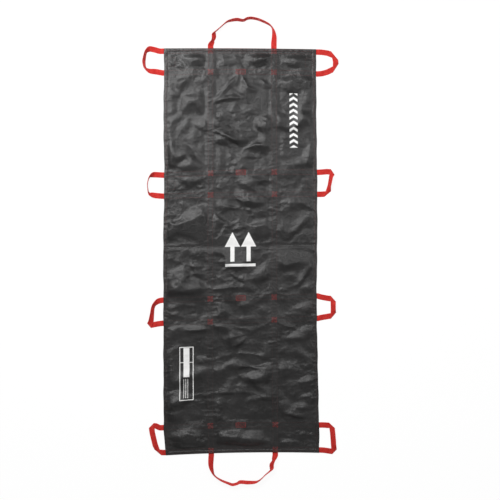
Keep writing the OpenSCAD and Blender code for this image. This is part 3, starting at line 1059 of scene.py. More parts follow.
    def _creases(self, x: np.ndarray, y: np.ndarray) -> np.ndarray:
        """The straight creases that the sheet is packed along, each with its place, width and height.

        Args:
            x: the grid's x.
            y: the grid's y.

        Returns:
            The height that they add.
        """
        lay = self.layout
        flaps = tuple((way * lay.flap_crease, *self.FLAP_CREASE) for way in (-1, 1))
        wander = 0.0012 * self._field(0.09, 71, 0.5)
        out = np.zeros_like(x)
        for across, creases, cloud, seed in (
            (x, flaps + self.LONG_CREASES, 0.16, 80),
            (y, self.CROSS_CREASES, 0.2, 90),
        ):
            for place, width, height in creases:
                fade = 0.5 + 0.5 * np.tanh(self._field(cloud, seed + int(place * 1000), 0.5))
                out += height * fade * np.exp(-np.abs(across - place - wander) / width)
        return out

    def _settled(self, rise: np.ndarray, base: np.ndarray, seam: np.ndarray) -> np.ndarray:
        """Lets the loose cloth between the seams settle.

        Args:
            rise: how high the folds stand over the webbing or the floor.
            base: top of what lies under the cloth.
            seam: distance to the nearest seam.

        Returns:
            How high the settled cloth stands over its base.
        """
        few = (slice(None, None, self.finer), slice(None, None, self.finer))
        start, under = rise[few] + base[few], base[few]
        pinned = seam[few] < 0.0018
        rest = np.maximum(self.settling.settle(start, pinned) - under, 0)
        soft = np.pad(rest, 1, mode="edge")
        soft = (soft[:-2] + 2 * soft[1:-1] + soft[2:]) / 4
        soft = (soft[:, :-2] + 2 * soft[:, 1:-1] + soft[:, 2:]) / 4
        return catmull(catmull(soft, self.finer).T, self.finer).T

    def _loose(self, x: np.ndarray, y: np.ndarray, seam: np.ndarray) -> np.ndarray:
        """How freely the cloth lies, from 0 on a seam or the sheet's edge to 1."""
        slack = self.slack * self._ease((self.layout.inset(x, y) - 0.012) / 0.06)
        return slack + (1 - slack) * self._ease(seam / self.seam_reach)

    def _crumpled(self, x: np.ndarray, y: np.ndarray) -> np.ndarray:
        """How crumpled the cloth is, in clouds, and less so on the flaps at the head end."""
        spared = self._ease((np.abs(x) - 0.17) / 0.04)
        spared = spared * self._ease((y - 0.33) / 0.08) * self._ease((0.78 - y) / 0.05)
        return self._ease(0.42 + 0.5 * self._field(0.24, 6, 0.4)) * (1 - 0.8 * spared)

    def _calm(self, x: np.ndarray, y: np.ndarray) -> np.ndarray:
        """Where no broad swells rise: in the middle at the head end, and in one round place at its right."""
        calm = self._ease((0.16 - np.abs(x)) / 0.04)
        calm = calm * self._ease((y - 0.56) / 0.08) * self._ease((0.81 - y) / 0.03)
        return np.maximum(calm, np.exp(-(((x - 0.271) / 0.055) ** 2) - ((y - 0.757) / 0.040) ** 2))

    def _all_puckers(self, out: np.ndarray) -> np.ndarray:
        """The puckers along all seams, added up in an array of zeros.

        Args:
            out: zeros all over the grid.

        Returns:
            The same array, with the puckers in it.
        """
        lay = self.layout
        for index, rail in enumerate(lay.rails):
            out += self._puckers(rail, True, self.rail_pucker, 20 + index)
        for index, way in enumerate((-1, 1)):
            out += self._puckers(way * (lay.half_width - lay.hem), True, self.side_pucker, 30 + index)
            out += self._puckers(way * (lay.half_length - lay.hem), False, self.end_pucker, 40 + index)
        for number in NUMBERS:
            for way in (-1, 1):
                out += self._puckers(lay.leg(number, way), False, self.leg_pucker, 50 + 2 * number + way)
        return out

    def _below_fold(self, lifted: np.ndarray, y: np.ndarray) -> np.ndarray:
        """Keeps the cloth near the mid crease below the plane in which the halves meet, folded.

        Args:
            lifted: the height of the cloth's underside.
            y: the grid's y.

        Returns:
            The height, soft under a slanted ceiling, with small lips beside the crease and flat in it.
        """
        lay = self.layout
        away = np.abs(y - lay.mid_crease)
        lip, beside, width = self.lip
        lifted = lifted + lip * np.exp(-(((away - beside) / width) ** 2))
        ceiling = lay.fold_height - 2 * lay.cloth + away * math.tan(lay.fold_spare / 2)
        over = (lifted - ceiling) / self.ceiling_soft
        lifted = lifted - self.ceiling_soft * np.log1p(np.exp(np.clip(over, -20, 40)))
        held = np.exp(-((away / self.crease_reach) ** 2))
        return np.maximum(lifted, self.lowest) * (1 - held) + held * np.clip(lifted, *self.crease_range)

    def _heights(self) -> np.ndarray:
        """Adds up the webbing below, the settled folds, the creases and the puckers.

        Returns:
            The height of the cloth's underside at each point of the grid.
        """
        x, y = self._grid()
        seam = self._seam_distance(x, y)
        loose, crumpled = self._loose(x, y, seam), self._crumpled(x, y)
        wide = self._field(0.24, 1, 0.35) * self.swell + self._field(0.14, 8, 0.3) * self.small_swell
        broad = np.abs(self._field(0.19, 2, 0.4, 2.4, 12)) * self.hill
        facets = -np.abs(self._field(0.110, 3, 0.45, 2.8, -12)) * (self.facet[0] + self.facet[1] * crumpled)
        facets -= np.abs(self._field(0.060, 4, 0.45, 2.4, 15)) * self.small_facet * crumpled
        fine = self._field(0.020, 5, 0.5, 1.6, 5) * (self.grain[0] + self.grain[1] * crumpled)
        wide_folds = self._folds(x, y, self.wide_fold, 1.0)
        narrow_folds = self._folds(x, y, 0.0, self.wide_fold)
        base = np.maximum(self._webbing_top(x, y), self.lowest)
        swells = (wide + broad) * (1 - 0.65 * self._calm(x, y))
        rise = np.maximum((swells + wide_folds + 0.5 * narrow_folds + 0.0015) * loose, 0)
        rise = self._settled(rise, base, seam)
        rise = rise + (facets + 0.0012) * (0.1 + 0.9 * loose) + 0.35 * wide_folds * loose
        rise += 0.7 * narrow_folds * (0.5 + 0.5 * loose)
        rise += self._all_puckers(np.zeros_like(x)) + fine + self._creases(x, y)
        soft = self.ground_soft
        rise = soft * np.log1p(np.exp(np.clip(rise / soft, -20, 20)))
        lifted = base + rise * (0.35 + 0.65 * self._ease(1 - base / 0.0045))
        return self._below_fold(lifted, y)

    def at(self, x: np.ndarray, y: np.ndarray) -> np.ndarray:
        """The height of the cloth's underside at any points.

        Args:
            x: places across the sheet.
            y: places along it.

        Returns:
            The heights, between the grid's own by straight lines.
        """
        fx = np.clip((np.asarray(x) - self.xs[0]) / (self.xs[1] - self.xs[0]), 0, len(self.xs) - 1.001)
        fy = np.clip((np.asarray(y) - self.ys[0]) / (self.ys[1] - self.ys[0]), 0, len(self.ys) - 1.001)
        i, j = fx.astype(int), fy.astype(int)
        u, v = fx - i, fy - j
        h = self.heights
        near = h[j, i] * (1 - u) + h[j, i + 1] * u
        far = h[j + 1, i] * (1 - u) + h[j + 1, i + 1] * u
        return near * (1 - v) + far * v


# ---------------------------------------------------------------- meshes


def slab(columns: int, rows: int) -> tuple[bpy.types.Mesh, np.ndarray, np.ndarray, np.ndarray]:
    """A closed thin slab on a grid, smooth but for its narrow side walls, ready to be laid in place.

    Args:
        columns: number of cells across.
        rows: number of cells along.

    Returns:
        The mesh, and each vertex's column, row and layer, 0 for the lower layer and 1 for the upper.
    """
    shape = bmesh.new()
    bmesh.ops.create_grid(shape, x_segments=columns, y_segments=rows, size=0.5)
    bmesh.ops.scale(shape, vec=(columns, rows, 1), verts=shape.verts)
    bmesh.ops.translate(shape, vec=(columns / 2, rows / 2, 0), verts=shape.verts)
    bmesh.ops.solidify(shape, geom=shape.faces[:], thickness=1.0)
    bmesh.ops.recalc_face_normals(shape, faces=shape.faces)
    mesh = bpy.data.meshes.new("slab")
    shape.to_mesh(mesh)
    shape.free()
    places = np.empty(len(mesh.vertices) * 3)
    mesh.vertices.foreach_get("co", places)
    places = places.reshape(-1, 3)
    layer = (places[:, 2] > places[:, 2].mean()).astype(int)
    corner = np.empty(len(mesh.loops), np.int32)
    mesh.loops.foreach_get("vertex_index", corner)
    wall = np.ptp(layer[corner.reshape(-1, 4)], axis=1) > 0
    mesh.polygons.foreach_set("use_smooth", ~wall)
    return mesh, np.rint(places[:, 0]).astype(int), np.rint(places[:, 1]).astype(int), layer


def lay_out(mesh: bpy.types.Mesh, places: np.ndarray, flat: np.ndarray, layer: str) -> None:
    """Moves a mesh's vertices and gives it a UV map in metres.

    Args:
        mesh: the mesh.
        places: each vertex's new place.
        flat: each vertex's two coordinates on the flat goods.
        layer: the UV map's name.
    """
    mesh.vertices.foreach_set("co", np.ascontiguousarray(places, np.float32).ravel())
    corner = np.empty(len(mesh.loops), np.int32)
    mesh.loops.foreach_get("vertex_index", corner)
    uv = mesh.uv_layers.new(name=layer)
    uv.data.foreach_set("uv", np.ascontiguousarray(flat[corner], np.float32).ravel())
    mesh.update()


def shown(mesh: bpy.types.Mesh, name: str, material: bpy.types.Material) -> bpy.types.Object:
    """Makes an object of a mesh and dresses it.

    Args:
        mesh: its finished mesh.
        name: its name.
        material: its one material.

    Returns:
        The object, linked to the scene.
    """
    mesh.name = name
    mesh.materials.clear()
    mesh.materials.append(material)
    made = bpy.data.objects.new(name, mesh)
    bpy.context.scene.collection.objects.link(made)
    return made


@dataclass
class Ribbon:
    """A length of webbing laid along a path, with rounded selvedges."""

    width: float = LAYOUT.webbing
    thick: float = 0.0014
    across: tuple[float, ...] = (-1, -0.975, -0.92, -0.7, -0.35, 0, 0.35, 0.7, 0.92, 0.975, 1)
    edge_start: float = 0.92
    edge_run: float = 0.08
    edge_least: float = 0.12

    def mesh(
        self,
        centre: np.ndarray,
        sideways: np.ndarray,
        face: Optional[np.ndarray] = None,
        skew: Union[np.ndarray, float] = 0.0,
    ) -> bpy.types.Mesh:
        """Builds the ribbon.

        Args:
            centre: the middle line, one point a row.
            sideways: vectors across the ribbon at each point, of unit length where the section is square.
            face: unit vectors out of its upper face, or None to work them out.
            skew: how far the goods run on between the middle and one edge of each section.

        Returns:
            A closed mesh with a UV map of the distances along and across.
        """
        rows = len(centre) - 1
        run = np.concatenate([[0], np.cumsum(np.linalg.norm(np.diff(centre, axis=0), axis=1))])
        centre = centre.copy()
        centre[:, 0], centre[:, 1] = LAYOUT.askew(centre[:, 0], centre[:, 1])
        mesh, column, row, layer = slab(len(self.across) - 1, rows)
        share = np.array(self.across)
        if face is None:
            face = np.cross(np.gradient(centre, axis=0), sideways)
        face = face / np.linalg.norm(face, axis=1)[:, None]
        turned = ((np.abs(share) - self.edge_start) / self.edge_run).clip(0, 1)
        round_off = np.sqrt(np.clip(1 - turned**2, self.edge_least, 1))
        lift = (layer * 2 - 1) * round_off[column] * self.thick / 2
        beside = share[column] * self.width / 2
        places = centre[row] + sideways[row] * beside[:, None] + face[row] * lift[:, None]
        along = run[row] + share[column] * np.broadcast_to(skew, (rows + 1,))[row]
        lay_out(mesh, places, np.stack([along, beside], axis=1), ALONG)
        return mesh


def joined(meshes: Iterable[bpy.types.Mesh]) -> bpy.types.Mesh:
    """One mesh from several, whose UV maps have the same name.

    Args:
        meshes: the meshes, which are used up.

    Returns:
        The one mesh.
    """
    whole = bmesh.new()
    for part in meshes:
        whole.from_mesh(part)
        bpy.data.meshes.remove(part)
    out = bpy.data.meshes.new("joined")
    whole.to_mesh(out)
    whole.free()
    return out


# ---------------------------------------------------------------- the cloth


def flap_body(side: Side, end: End) -> str:
    """The name of the body that a flap's head or foot part is."""
    return f"{side.word}_flap_{end.word}"


def bend_at_middle(made: bpy.types.Object) -> None:
    """Bakes a finished piece's transform into its mesh."""
    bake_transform(made)


def bend_at_flap(made: bpy.types.Object, side: Side, end: End) -> None:
    """Bakes a finished piece's transform into its mesh."""
    f"centre_{end.word}"
    flap_body(side, end)
    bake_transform(made)


class Panel(Enum):
    """The pieces that the sheet is modelled in, by side and end; the centre has neither."""

    CENTRE = (None, None)
    LEFT_HEAD = (Side.LEFT, End.HEAD)
    RIGHT_HEAD = (Side.RIGHT, End.HEAD)
    LEFT_FOOT = (Side.LEFT, End.FOOT)
    RIGHT_FOOT = (Side.RIGHT, End.FOOT)

    @property
    def stem(self) -> str:
        """What the names of the objects on it have in common."""
        side, end = self.value
        return "sheet_centre" if side is None else f"sheet_{side.word}_{end.word}_end"

    @property
    def nodes(self) -> tuple[str, ...]:
        """The CAD nodes that the piece stands for."""
        side, end = self.value
        if side is None:
            return ("sheet_centre_head", "sheet_centre_foot")
        return (f"sheet_{side.word}_{end.word}",)

    def limits(self, lay: Layout) -> tuple[float, float, float, float]:
        """The piece's lowest and highest x, then its lowest and highest y.

        Args:
            lay: where everything lies.

        Returns:
            The four places, in that order.
        """
        side, end = self.value
        if side is None:
            return (-lay.flap_crease, lay.flap_crease, -lay.half_length, lay.half_length)
        low, high = sorted((side.value * lay.flap_crease, side.value * lay.half_width))
        apart = lay.fold_gap / 2
        if end is End.HEAD:
            return (low, high, lay.mid_crease + apart, lay.half_length)
        return (low, high, -lay.half_length, lay.mid_crease - apart)

    def bend(self, made: bpy.types.Object, lay: Layout) -> None:
        """Bakes a finished piece's transform, through the function for its crease.

        Args:
            made: the piece.
            lay: not used.
        """
        side, end = self.value
        if side is None:
            bend_at_middle(made)
        else:
            bend_at_flap(made, side, end)


@dataclass
class Sheet:
    """The coated sheet with its turned hems, which rises over the webbing sewn under it."""

    relief: Relief
    finish: CoatedNylon
    layout: Layout = LAYOUT
    pitch: float = 0.004
    edge_lines: tuple[float, ...] = (0.0, 0.0002, 0.0006, 0.0012, 0.003)
    hem_lines: tuple[float, ...] = (0.0134, 0.0146)
    seam_lines: tuple[float, ...] = (0.0, 0.0002)
    line_gap: float = 0.35
    turn: float = 0.0012
    edge_least: float = 0.04
    drawn_in: tuple[Point, Point] = ((0.0007, 33.0), (0.0005, 71.0))
    print_shift: float = 3.3

    def _lines(self, low: float, high: float, limit: float) -> np.ndarray:
        """Where the grid's lines lie along one way.

        Args:
            low: where the piece starts.
            high: where it ends.
            limit: half the sheet's size that way, at which an edge is hemmed.

        Returns:
            The places, closer together at every edge and at the inner line of a hem.
        """
        count = max(2, round((high - low) / self.pitch))
        lines = np.linspace(low, high, count + 1)
        special = []
        for edge, way in ((low, 1), (high, -1)):
            hemmed = abs(abs(edge) - limit) < 1e-6
            offsets = self.edge_lines + self.hem_lines if hemmed else self.seam_lines
            special += [edge + way * offset for offset in offsets]
        far = np.min(np.abs(lines[:, None] - np.array(special)[None, :]), axis=1)
        ends = [low, high]
        lines = np.array([v for v, d in zip(lines, far) if d > self.pitch * self.line_gap or v in ends])
        return np.unique(np.round(np.concatenate([lines, special]), 7))

    def _hem_share(self, x: np.ndarray, y: np.ndarray) -> np.ndarray:
        """1 where the cloth lies double, 0 where it is single."""
        lay = self.layout
        return np.clip((lay.hem + self.turn / 2 - lay.inset(x, y)) / self.turn, 0, 1)

    def _edge_share(self, x: np.ndarray, y: np.ndarray) -> np.ndarray:
        """How full the turned edge is, from 0.2 at its outermost line to 1."""
        inner = np.clip(self.layout.inset(x, y) / self.turn, 0, 1)
        return np.sqrt(np.clip(1 - (1 - inner) ** 2, self.edge_least, 1))

    def warp(self, x: np.ndarray, y: np.ndarray) -> tuple[np.ndarray, np.ndarray]:
        """Where a point of the true rectangle ends up, with the edges drawn in a little here and there.

        Args:
            x: places across the rectangle.
            y: places along it.

        Returns:
            The moved x and y.
        """
        lay = self.layout
        edge = np.clip(np.abs(x) / lay.half_width, 0, 1) ** 8 * np.sign(x)
        (slow, slow_pace), (quick, quick_pace) = self.drawn_in
        draw = slow * np.sin(y * slow_pace + 0.7) + quick * np.sin(y * quick_pace + np.sign(x))
        return lay.askew(x - edge * draw, y)

    def top(self, x: np.ndarray, y: np.ndarray) -> np.ndarray:
        """The height of the cloth's upper side at points of the true rectangle."""
        return self.relief.at(x, y) + self.layout.cloth * (1 + self._hem_share(x, y))

    def _bare_below(self, mesh: bpy.types.Mesh, layer: np.ndarray) -> None:
        """Moves the UV map of the faces underneath off the prints, which only the upper side has.

        Args:
            mesh: the laid piece.
            layer: each vertex's layer, 0 for the lower one.
        """
        corner = np.empty(len(mesh.loops), np.int32)
        mesh.loops.foreach_get("vertex_index", corner)
        below = np.repeat(layer[corner.reshape(-1, 4)].max(axis=1) == 0, 4)
        uv = np.empty(len(mesh.loops) * 2, np.float32)
        mesh.uv_layers[LAID].data.foreach_get("uv", uv)
        uv[0::2][below] += self.print_shift
        mesh.uv_layers[LAID].data.foreach_set("uv", uv)
        mesh.update()

    def _piece(self, panel: Panel, material: bpy.types.Material) -> bpy.types.Object:
        """Builds and lays one piece of the sheet.

        Args:
            panel: which piece.
            material: the cloth's material.

        Returns:
            The piece.
        """
        lay = self.layout
        x_low, x_high, y_low, y_high = panel.limits(lay)
        xs = self._lines(x_low, x_high, lay.half_width)
        ys = self._lines(y_low, y_high, lay.half_length)
        mesh, column, row, layer = slab(len(xs) - 1, len(ys) - 1)
        x, y = xs[column], ys[row]
        under = self.relief.at(x, y)
        thick = lay.cloth * (1 + self._hem_share(x, y))
        full = self._edge_share(x, y)
        z = under + thick * (0.5 + (layer - 0.5) * full)
        moved_x, moved_y = self.warp(x, y)
        lay_out(mesh, np.stack([moved_x, moved_y, z], axis=1), np.stack([x, y], axis=1), LAID)
        self._bare_below(mesh, layer)
        made = shown(mesh, f"{panel.stem}_cloth", material)
        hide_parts(*panel.nodes)
        panel.bend(made, lay)
        x_high - x_low
        y_high - y_low
        log.info("%s: %d faces", made.name, len(mesh.polygons))
        return made

    def build(self) -> list[bpy.types.Object]:
        """Builds every piece of the sheet."""
        material = self.finish.material()
        return [self._piece(panel, material) for panel in Panel]


# ---------------------------------------------------------------- stitching

Stitches = np.ndarray


class Layer(Enum):
    """Which surface a line of sewing lies on, with its height over the cloth's top or over the floor."""

    CLOTH = 0.00010
    RAIL_BELOW = 0.00165
    LEG_BELOW = 0.00030


@dataclass
class Stitching:
    """Every line of sewing on the sheet, stitch by stitch.

    A stitch is a row [x, y, x, y], its two ends in the true rectangle. A pitch runs from one stitch to the
    next, and a share is how much of it the thread shows for. selvedge is how far a webbing's two lines lie
    from its middle. Boxes and laps have half sizes.
    """

    sheet: Sheet
    bright: bpy.types.Material
    dull: bpy.types.Material
    layout: Layout = LAYOUT
    half_width: float = 0.00050
    half_height: float = 0.00034
    overlap: float = 1.08
    strong: float = 1.5
    box_pitch: float = 0.0031
    bar_pitch: float = 0.0030
    bar_share: float = 0.8
    tack_pitch: float = 0.0026
    tack_share: float = 0.85
    hem_insets: Point = (0.0092, 0.0122)
    tack_insets: Point = (0.0170, 0.0195)
    patch_inset: float = 0.003
    end_inset: float = 0.004
    selvedge: float = 0.0102
    crossing_boxes: tuple[tuple[float, bool], ...] = ((0.0108, True), (0.0062, False))
    lap_bars: Point = (0.0195, 0.0105)
    lap_bar_count: int = 9
    lap_box: Point = (0.0215, 0.0112)
    long_lap_y: float = -0.697
    long_lap_box: Point = (0.0104, 0.032)

    def _line(self, a: Point, b: Point, pitch: float = 0.0042, share: float = 0.72) -> Stitches:
        """A straight line of stitches.

        Args:
            a: where it starts.
            b: where it ends.
            pitch: from one stitch to the next.
            share: how much of the pitch the thread shows for.

        Returns:
            Its stitches.
        """
        start, end = np.array(a), np.array(b)
        length = float(np.linalg.norm(end - start))
        count = max(1, round(length / pitch))
        way = (end - start) / length
        middles = start + way * ((np.arange(count) + 0.5) * length / count)[:, None]
        reach = way * length / count * share / 2
        return np.hstack([middles - reach, middles + reach])

    def _box(self, centre: Point, half: Point, crossed: bool = True) -> Stitches:
        """A sewn box, with its two diagonals where it is crossed."""
        (x, y), (w, h) = centre, half
        corners = [(x - w, y - h), (x + w, y - h), (x + w, y + h), (x - w, y + h)]
        pairs = [(0, 1), (1, 2), (2, 3), (3, 0)] + ([(0, 2), (1, 3)] if crossed else [])
        return np.vstack([self._line(corners[i], corners[j], self.box_pitch) for i, j in pairs])

    def _bars(self, centre: Point, half: Point, count: int) -> Stitches:
        """Close lines side by side, which run along the sheet, over a lap."""
        (x, y), (w, h) = centre, half
        places = np.linspace(x - w, x + w, count)
        lines = [self._line((p, y - h), (p, y + h), self.bar_pitch, self.bar_share) for p in places]
        return np.vstack(lines)

    def _hems(self) -> Stitches:
        """Two lines round the whole sheet, inside the hem."""
        lay = self.layout
        lines = []
        for inset in self.hem_insets:
            w, h = lay.half_width - inset, lay.half_length - inset
            corners = [(-w, -h), (w, -h), (w, h), (-w, h)]
            lines += [self._line(corners[i], corners[(i + 1) % 4]) for i in range(4)]
        return np.vstack(lines)

    def _rails(self) -> Stitches:
        """The lines down both edges of the long webbings."""
        end = self.layout.half_length - self.end_inset
        places = [rail + edge for rail in self.layout.rails for edge in (-self.selvedge, self.selvedge)]
        return np.vstack([self._line((x, -end), (x, end)) for x in places])

    def _legs(self) -> Stitches:
        """The lines along both edges of the cross webbings."""
        end = self.layout.half_width - self.end_inset
        places = [leg + edge for leg in self.layout.legs for edge in (-self.selvedge, self.selvedge)]
        return np.vstack([self._line((-end, y), (end, y)) for y in places])

    def _crossings(self) -> Stitches:
        """A crossed box wherever a long webbing passes over a cross webbing."""
        lay = self.layout
        return np.vstack([
            self._box((rail, leg), (reach, reach), crossed)
            for leg in lay.legs for rail in lay.rails for reach, crossed in self.crossing_boxes
        ])

    def _laps(self) -> Stitches:
        """The bars over the lapped ends of the cross webbings."""
        places = [(0.0, self.layout.lap_line(n)) for n in NUMBERS]
        laps = [self._bars(place, self.lap_bars, self.lap_bar_count) for place in places]
        laps += [self._box(place, self.lap_box, False) for place in places]
        return np.vstack(laps)

    def _long_lap(self) -> Stitches:
        """The box over the lapped ends of the right long webbing."""
        return self._box((self.layout.rails[1], self.long_lap_y), self.long_lap_box)

    def _patches(self) -> Stitches:
        """Round every patch under the edges, and a tack over each leg at the sheet's edge."""
        lay, reach = self.layout, self.selvedge
        out = []
        for n in NUMBERS:
            for side in Side:
                low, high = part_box(f"edge_patch_{n}_{side.word}")
                middle, half = (low + high) / 2, (high - low) / 2
                inner = (half.x - self.patch_inset, half.y - self.patch_inset)
                out.append(self._box((middle.x, middle.y), inner, False))
                for way in (-1, 1):
                    for inset in self.tack_insets:
                        x, y = side.value * (lay.half_width - inset), lay.leg(n, way)
                        ends = (x, y - reach), (x, y + reach)
                        out.append(self._line(*ends, self.tack_pitch, self.tack_share))
        return np.vstack(out)

    def _stitch_shape(self) -> tuple[np.ndarray, np.ndarray]:
        """A round stitch of unit half sizes.

        Returns:
            Its vertices, and its triangles.
        """
        shape = bmesh.new()
        bmesh.ops.create_icosphere(shape, subdivisions=1, radius=1.0)
        points = np.array([v.co[:] for v in shape.verts])
        triangles = np.array([[v.index for v in f.verts] for f in shape.faces])
        shape.free()
        return points, triangles

    def _mesh(self, stitches: Stitches, layer: Layer, full: float) -> bpy.types.Mesh:
        """Lays a round stitch on every row.

        Args:
            stitches: the rows.
            layer: the surface that they lie on.
            full: how thick the thread is, as a share of the plain one.

        Returns:
            One mesh of them all.
        """
        ends = []
        for k in (0, 2):
            x, y = stitches[:, k], stitches[:, k + 1]
            under = self.sheet.top(x, y) if layer is Layer.CLOTH else np.zeros_like(x)
            z = under + layer.value
            moved_x, moved_y = self.sheet.warp(x, y)
            ends.append(np.stack([moved_x, moved_y, z], axis=1))
        middle, reach = (ends[0] + ends[1]) / 2, (ends[1] - ends[0]) / 2
        long = np.linalg.norm(reach, axis=1)[:, None]
        way = reach / long
        side = np.cross([0.0, 0.0, 1.0], way)
        side /= np.linalg.norm(side, axis=1)[:, None]
        up = np.cross(way, side)
        points, triangles = self._stitch_shape()
        grown = long * self.overlap
        placed = (
            middle[:, None, :]
            + (way * grown)[:, None, :] * points[None, :, :1]
            + side[:, None, :] * (points[None, :, 1:2] * self.half_width * full)
            + up[:, None, :] * (points[None, :, 2:] * self.half_height * full)
        )
        first = (np.arange(len(stitches)) * len(points))[:, None, None]
        faces = (triangles[None] + first).reshape(-1, 3)
        mesh = bpy.data.meshes.new("stitches")
        mesh.from_pydata(placed.reshape(-1, 3).tolist(), [], faces.tolist())
        mesh.shade_smooth()
        return mesh

    def _on(self, panel: Panel, stitches: Stitches) -> Stitches:
        """The stitches whose middle lies on a panel."""
        x, y = (stitches[:, 0] + stitches[:, 2]) / 2, (stitches[:, 1] + stitches[:, 3]) / 2
        x_low, x_high, y_low, y_high = panel.limits(self.layout)
        return stitches[(x >= x_low) & (x < x_high) & (y >= y_low) & (y < y_high)]

    def build(self) -> list[bpy.types.Object]:
        """Sews every line, in one piece for each panel and colour of thread."""
        plain = (
            (self._hems(), Layer.CLOTH, 1.0), (self._rails(), Layer.CLOTH, 1.25),
            (self._legs(), Layer.CLOTH, 1.5), (self._long_lap(), Layer.CLOTH, 1.3),
            (self._patches(), Layer.CLOTH, 0.8),
        )
        strong = (
            (self._crossings(), Layer.CLOTH, self.strong), (self._laps(), Layer.CLOTH, self.strong),
            (self._rails(), Layer.RAIL_BELOW, 1.0), (self._legs(), Layer.LEG_BELOW, 1.0),
        )
        made = []
        for panel in Panel:
            for word, material, sets in (("dull", self.dull, plain), ("bright", self.bright, strong)):
                parts = [(self._on(panel, stitches), layer, full) for stitches, layer, full in sets]
                mesh = joined(self._mesh(*part) for part in parts if len(part[0]))
                piece = shown(mesh, f"{word}_stitches_on_{panel.stem}", material)
                panel.bend(piece, self.layout)
                log.info("%s: %d stitches", piece.name, sum(len(part[0]) for part in parts))
                made.append(piece)
        return made


# ---------------------------------------------------------------- webbing under the cloth


@dataclass
class LongWebbing:
    """The two runs of webbing down the sheet, each in one length from end to end."""

    finish: bpy.types.Material
    layout: Layout = LAYOUT
    tuck: float = 0.030
    mid_height: float = 0.0024
    rows: int = 420

    def build(self) -> list[bpy.types.Object]:
        """Lays the two runs and returns them."""
        lay = self.layout
        made = []
        ends = lay.half_length - self.tuck
        y = np.linspace(-ends, ends, self.rows)
        for side, x in zip(Side, lay.rails):
            centre = np.stack([np.full_like(y, x), y, np.full_like(y, self.mid_height)], axis=1)
            sideways = np.tile([-1.0, 0.0, 0.0], (len(y), 1))
            mesh = Ribbon().mesh(centre, sideways)
            piece = shown(mesh, f"long_webbing_{side.word}", self.finish)
            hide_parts(f"long_strap_{side.word}_head", f"long_strap_{side.word}_foot")
            bend_at_middle(piece)
            log.info("%s: one run of %.3f m", piece.name, 2 * ends)
            made.append(piece)
        return made


@dataclass
class CrossWebbing:
    """One band of webbing across the sheet: its two legs between the flap creases, lapped in the middle."""

    number: int
    finish: bpy.types.Material
    layout: Layout = LAYOUT
    mid_height: float = 0.0009
    far_rows: tuple[float, int] = (0.04, 44)
    near_rows: tuple[float, int] = (0.037, 20)
    climb_start: float = 0.012
    climb_run: float = 0.010

    def _leg(self, side: Side, way: int) -> bpy.types.Mesh:
        """One leg on one side, from the end of the flap's bend in to the middle or the lap.

        Args:
            side: which side of the sheet.
            way: 1 for the leg nearer the head, -1 for the other.

        Returns:
            The leg's mesh.
        """
        lay = self.layout
        outer = lay.flap_crease + lay.flap_reach
        lapped = way == lay.lapped_leg[self.number - 1]
        inner = -lay.lap / 2 if lapped else 0.0
        (stop, far), (start, near) = self.far_rows, self.near_rows
        run = np.concatenate([np.linspace(outer, stop, far), np.linspace(start, inner, near)])
        z = np.full_like(run, self.mid_height)
        if lapped and side is Side.RIGHT:
            rise = np.clip((lay.lap / 2 + self.climb_start - run) / self.climb_run, 0, 1)
            z += lay.webbing_thick * rise * rise * (3 - 2 * rise)
        y = np.full_like(run, lay.leg(self.number, way))
        centre = np.stack([run * side.value, y, z], axis=1)
        sideways = np.tile([0.0, 1.0, 0.0], (len(run), 1))
        return Ribbon().mesh(centre, sideways)

    def build(self) -> list[bpy.types.Object]:
        """Lays both sides and returns them."""
        lay = self.layout
        head_leg, foot_leg = lay.leg(self.number, 1), lay.leg(self.number, -1)
        made = []
        for side in Side:
            mesh = joined(self._leg(side, way) for way in (1, -1))
            piece = shown(mesh, f"cross_webbing_{self.number}_{side.word}", self.finish)
            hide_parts(f"cross_strap_{self.number}_centre")
            bend_at_flap(piece, side, End.of(self.number))
            log.info("%s: legs at %.3f and %.3f m", piece.name, head_leg, foot_leg)
            made.append(piece)
        return made


# ---------------------------------------------------------------- handles


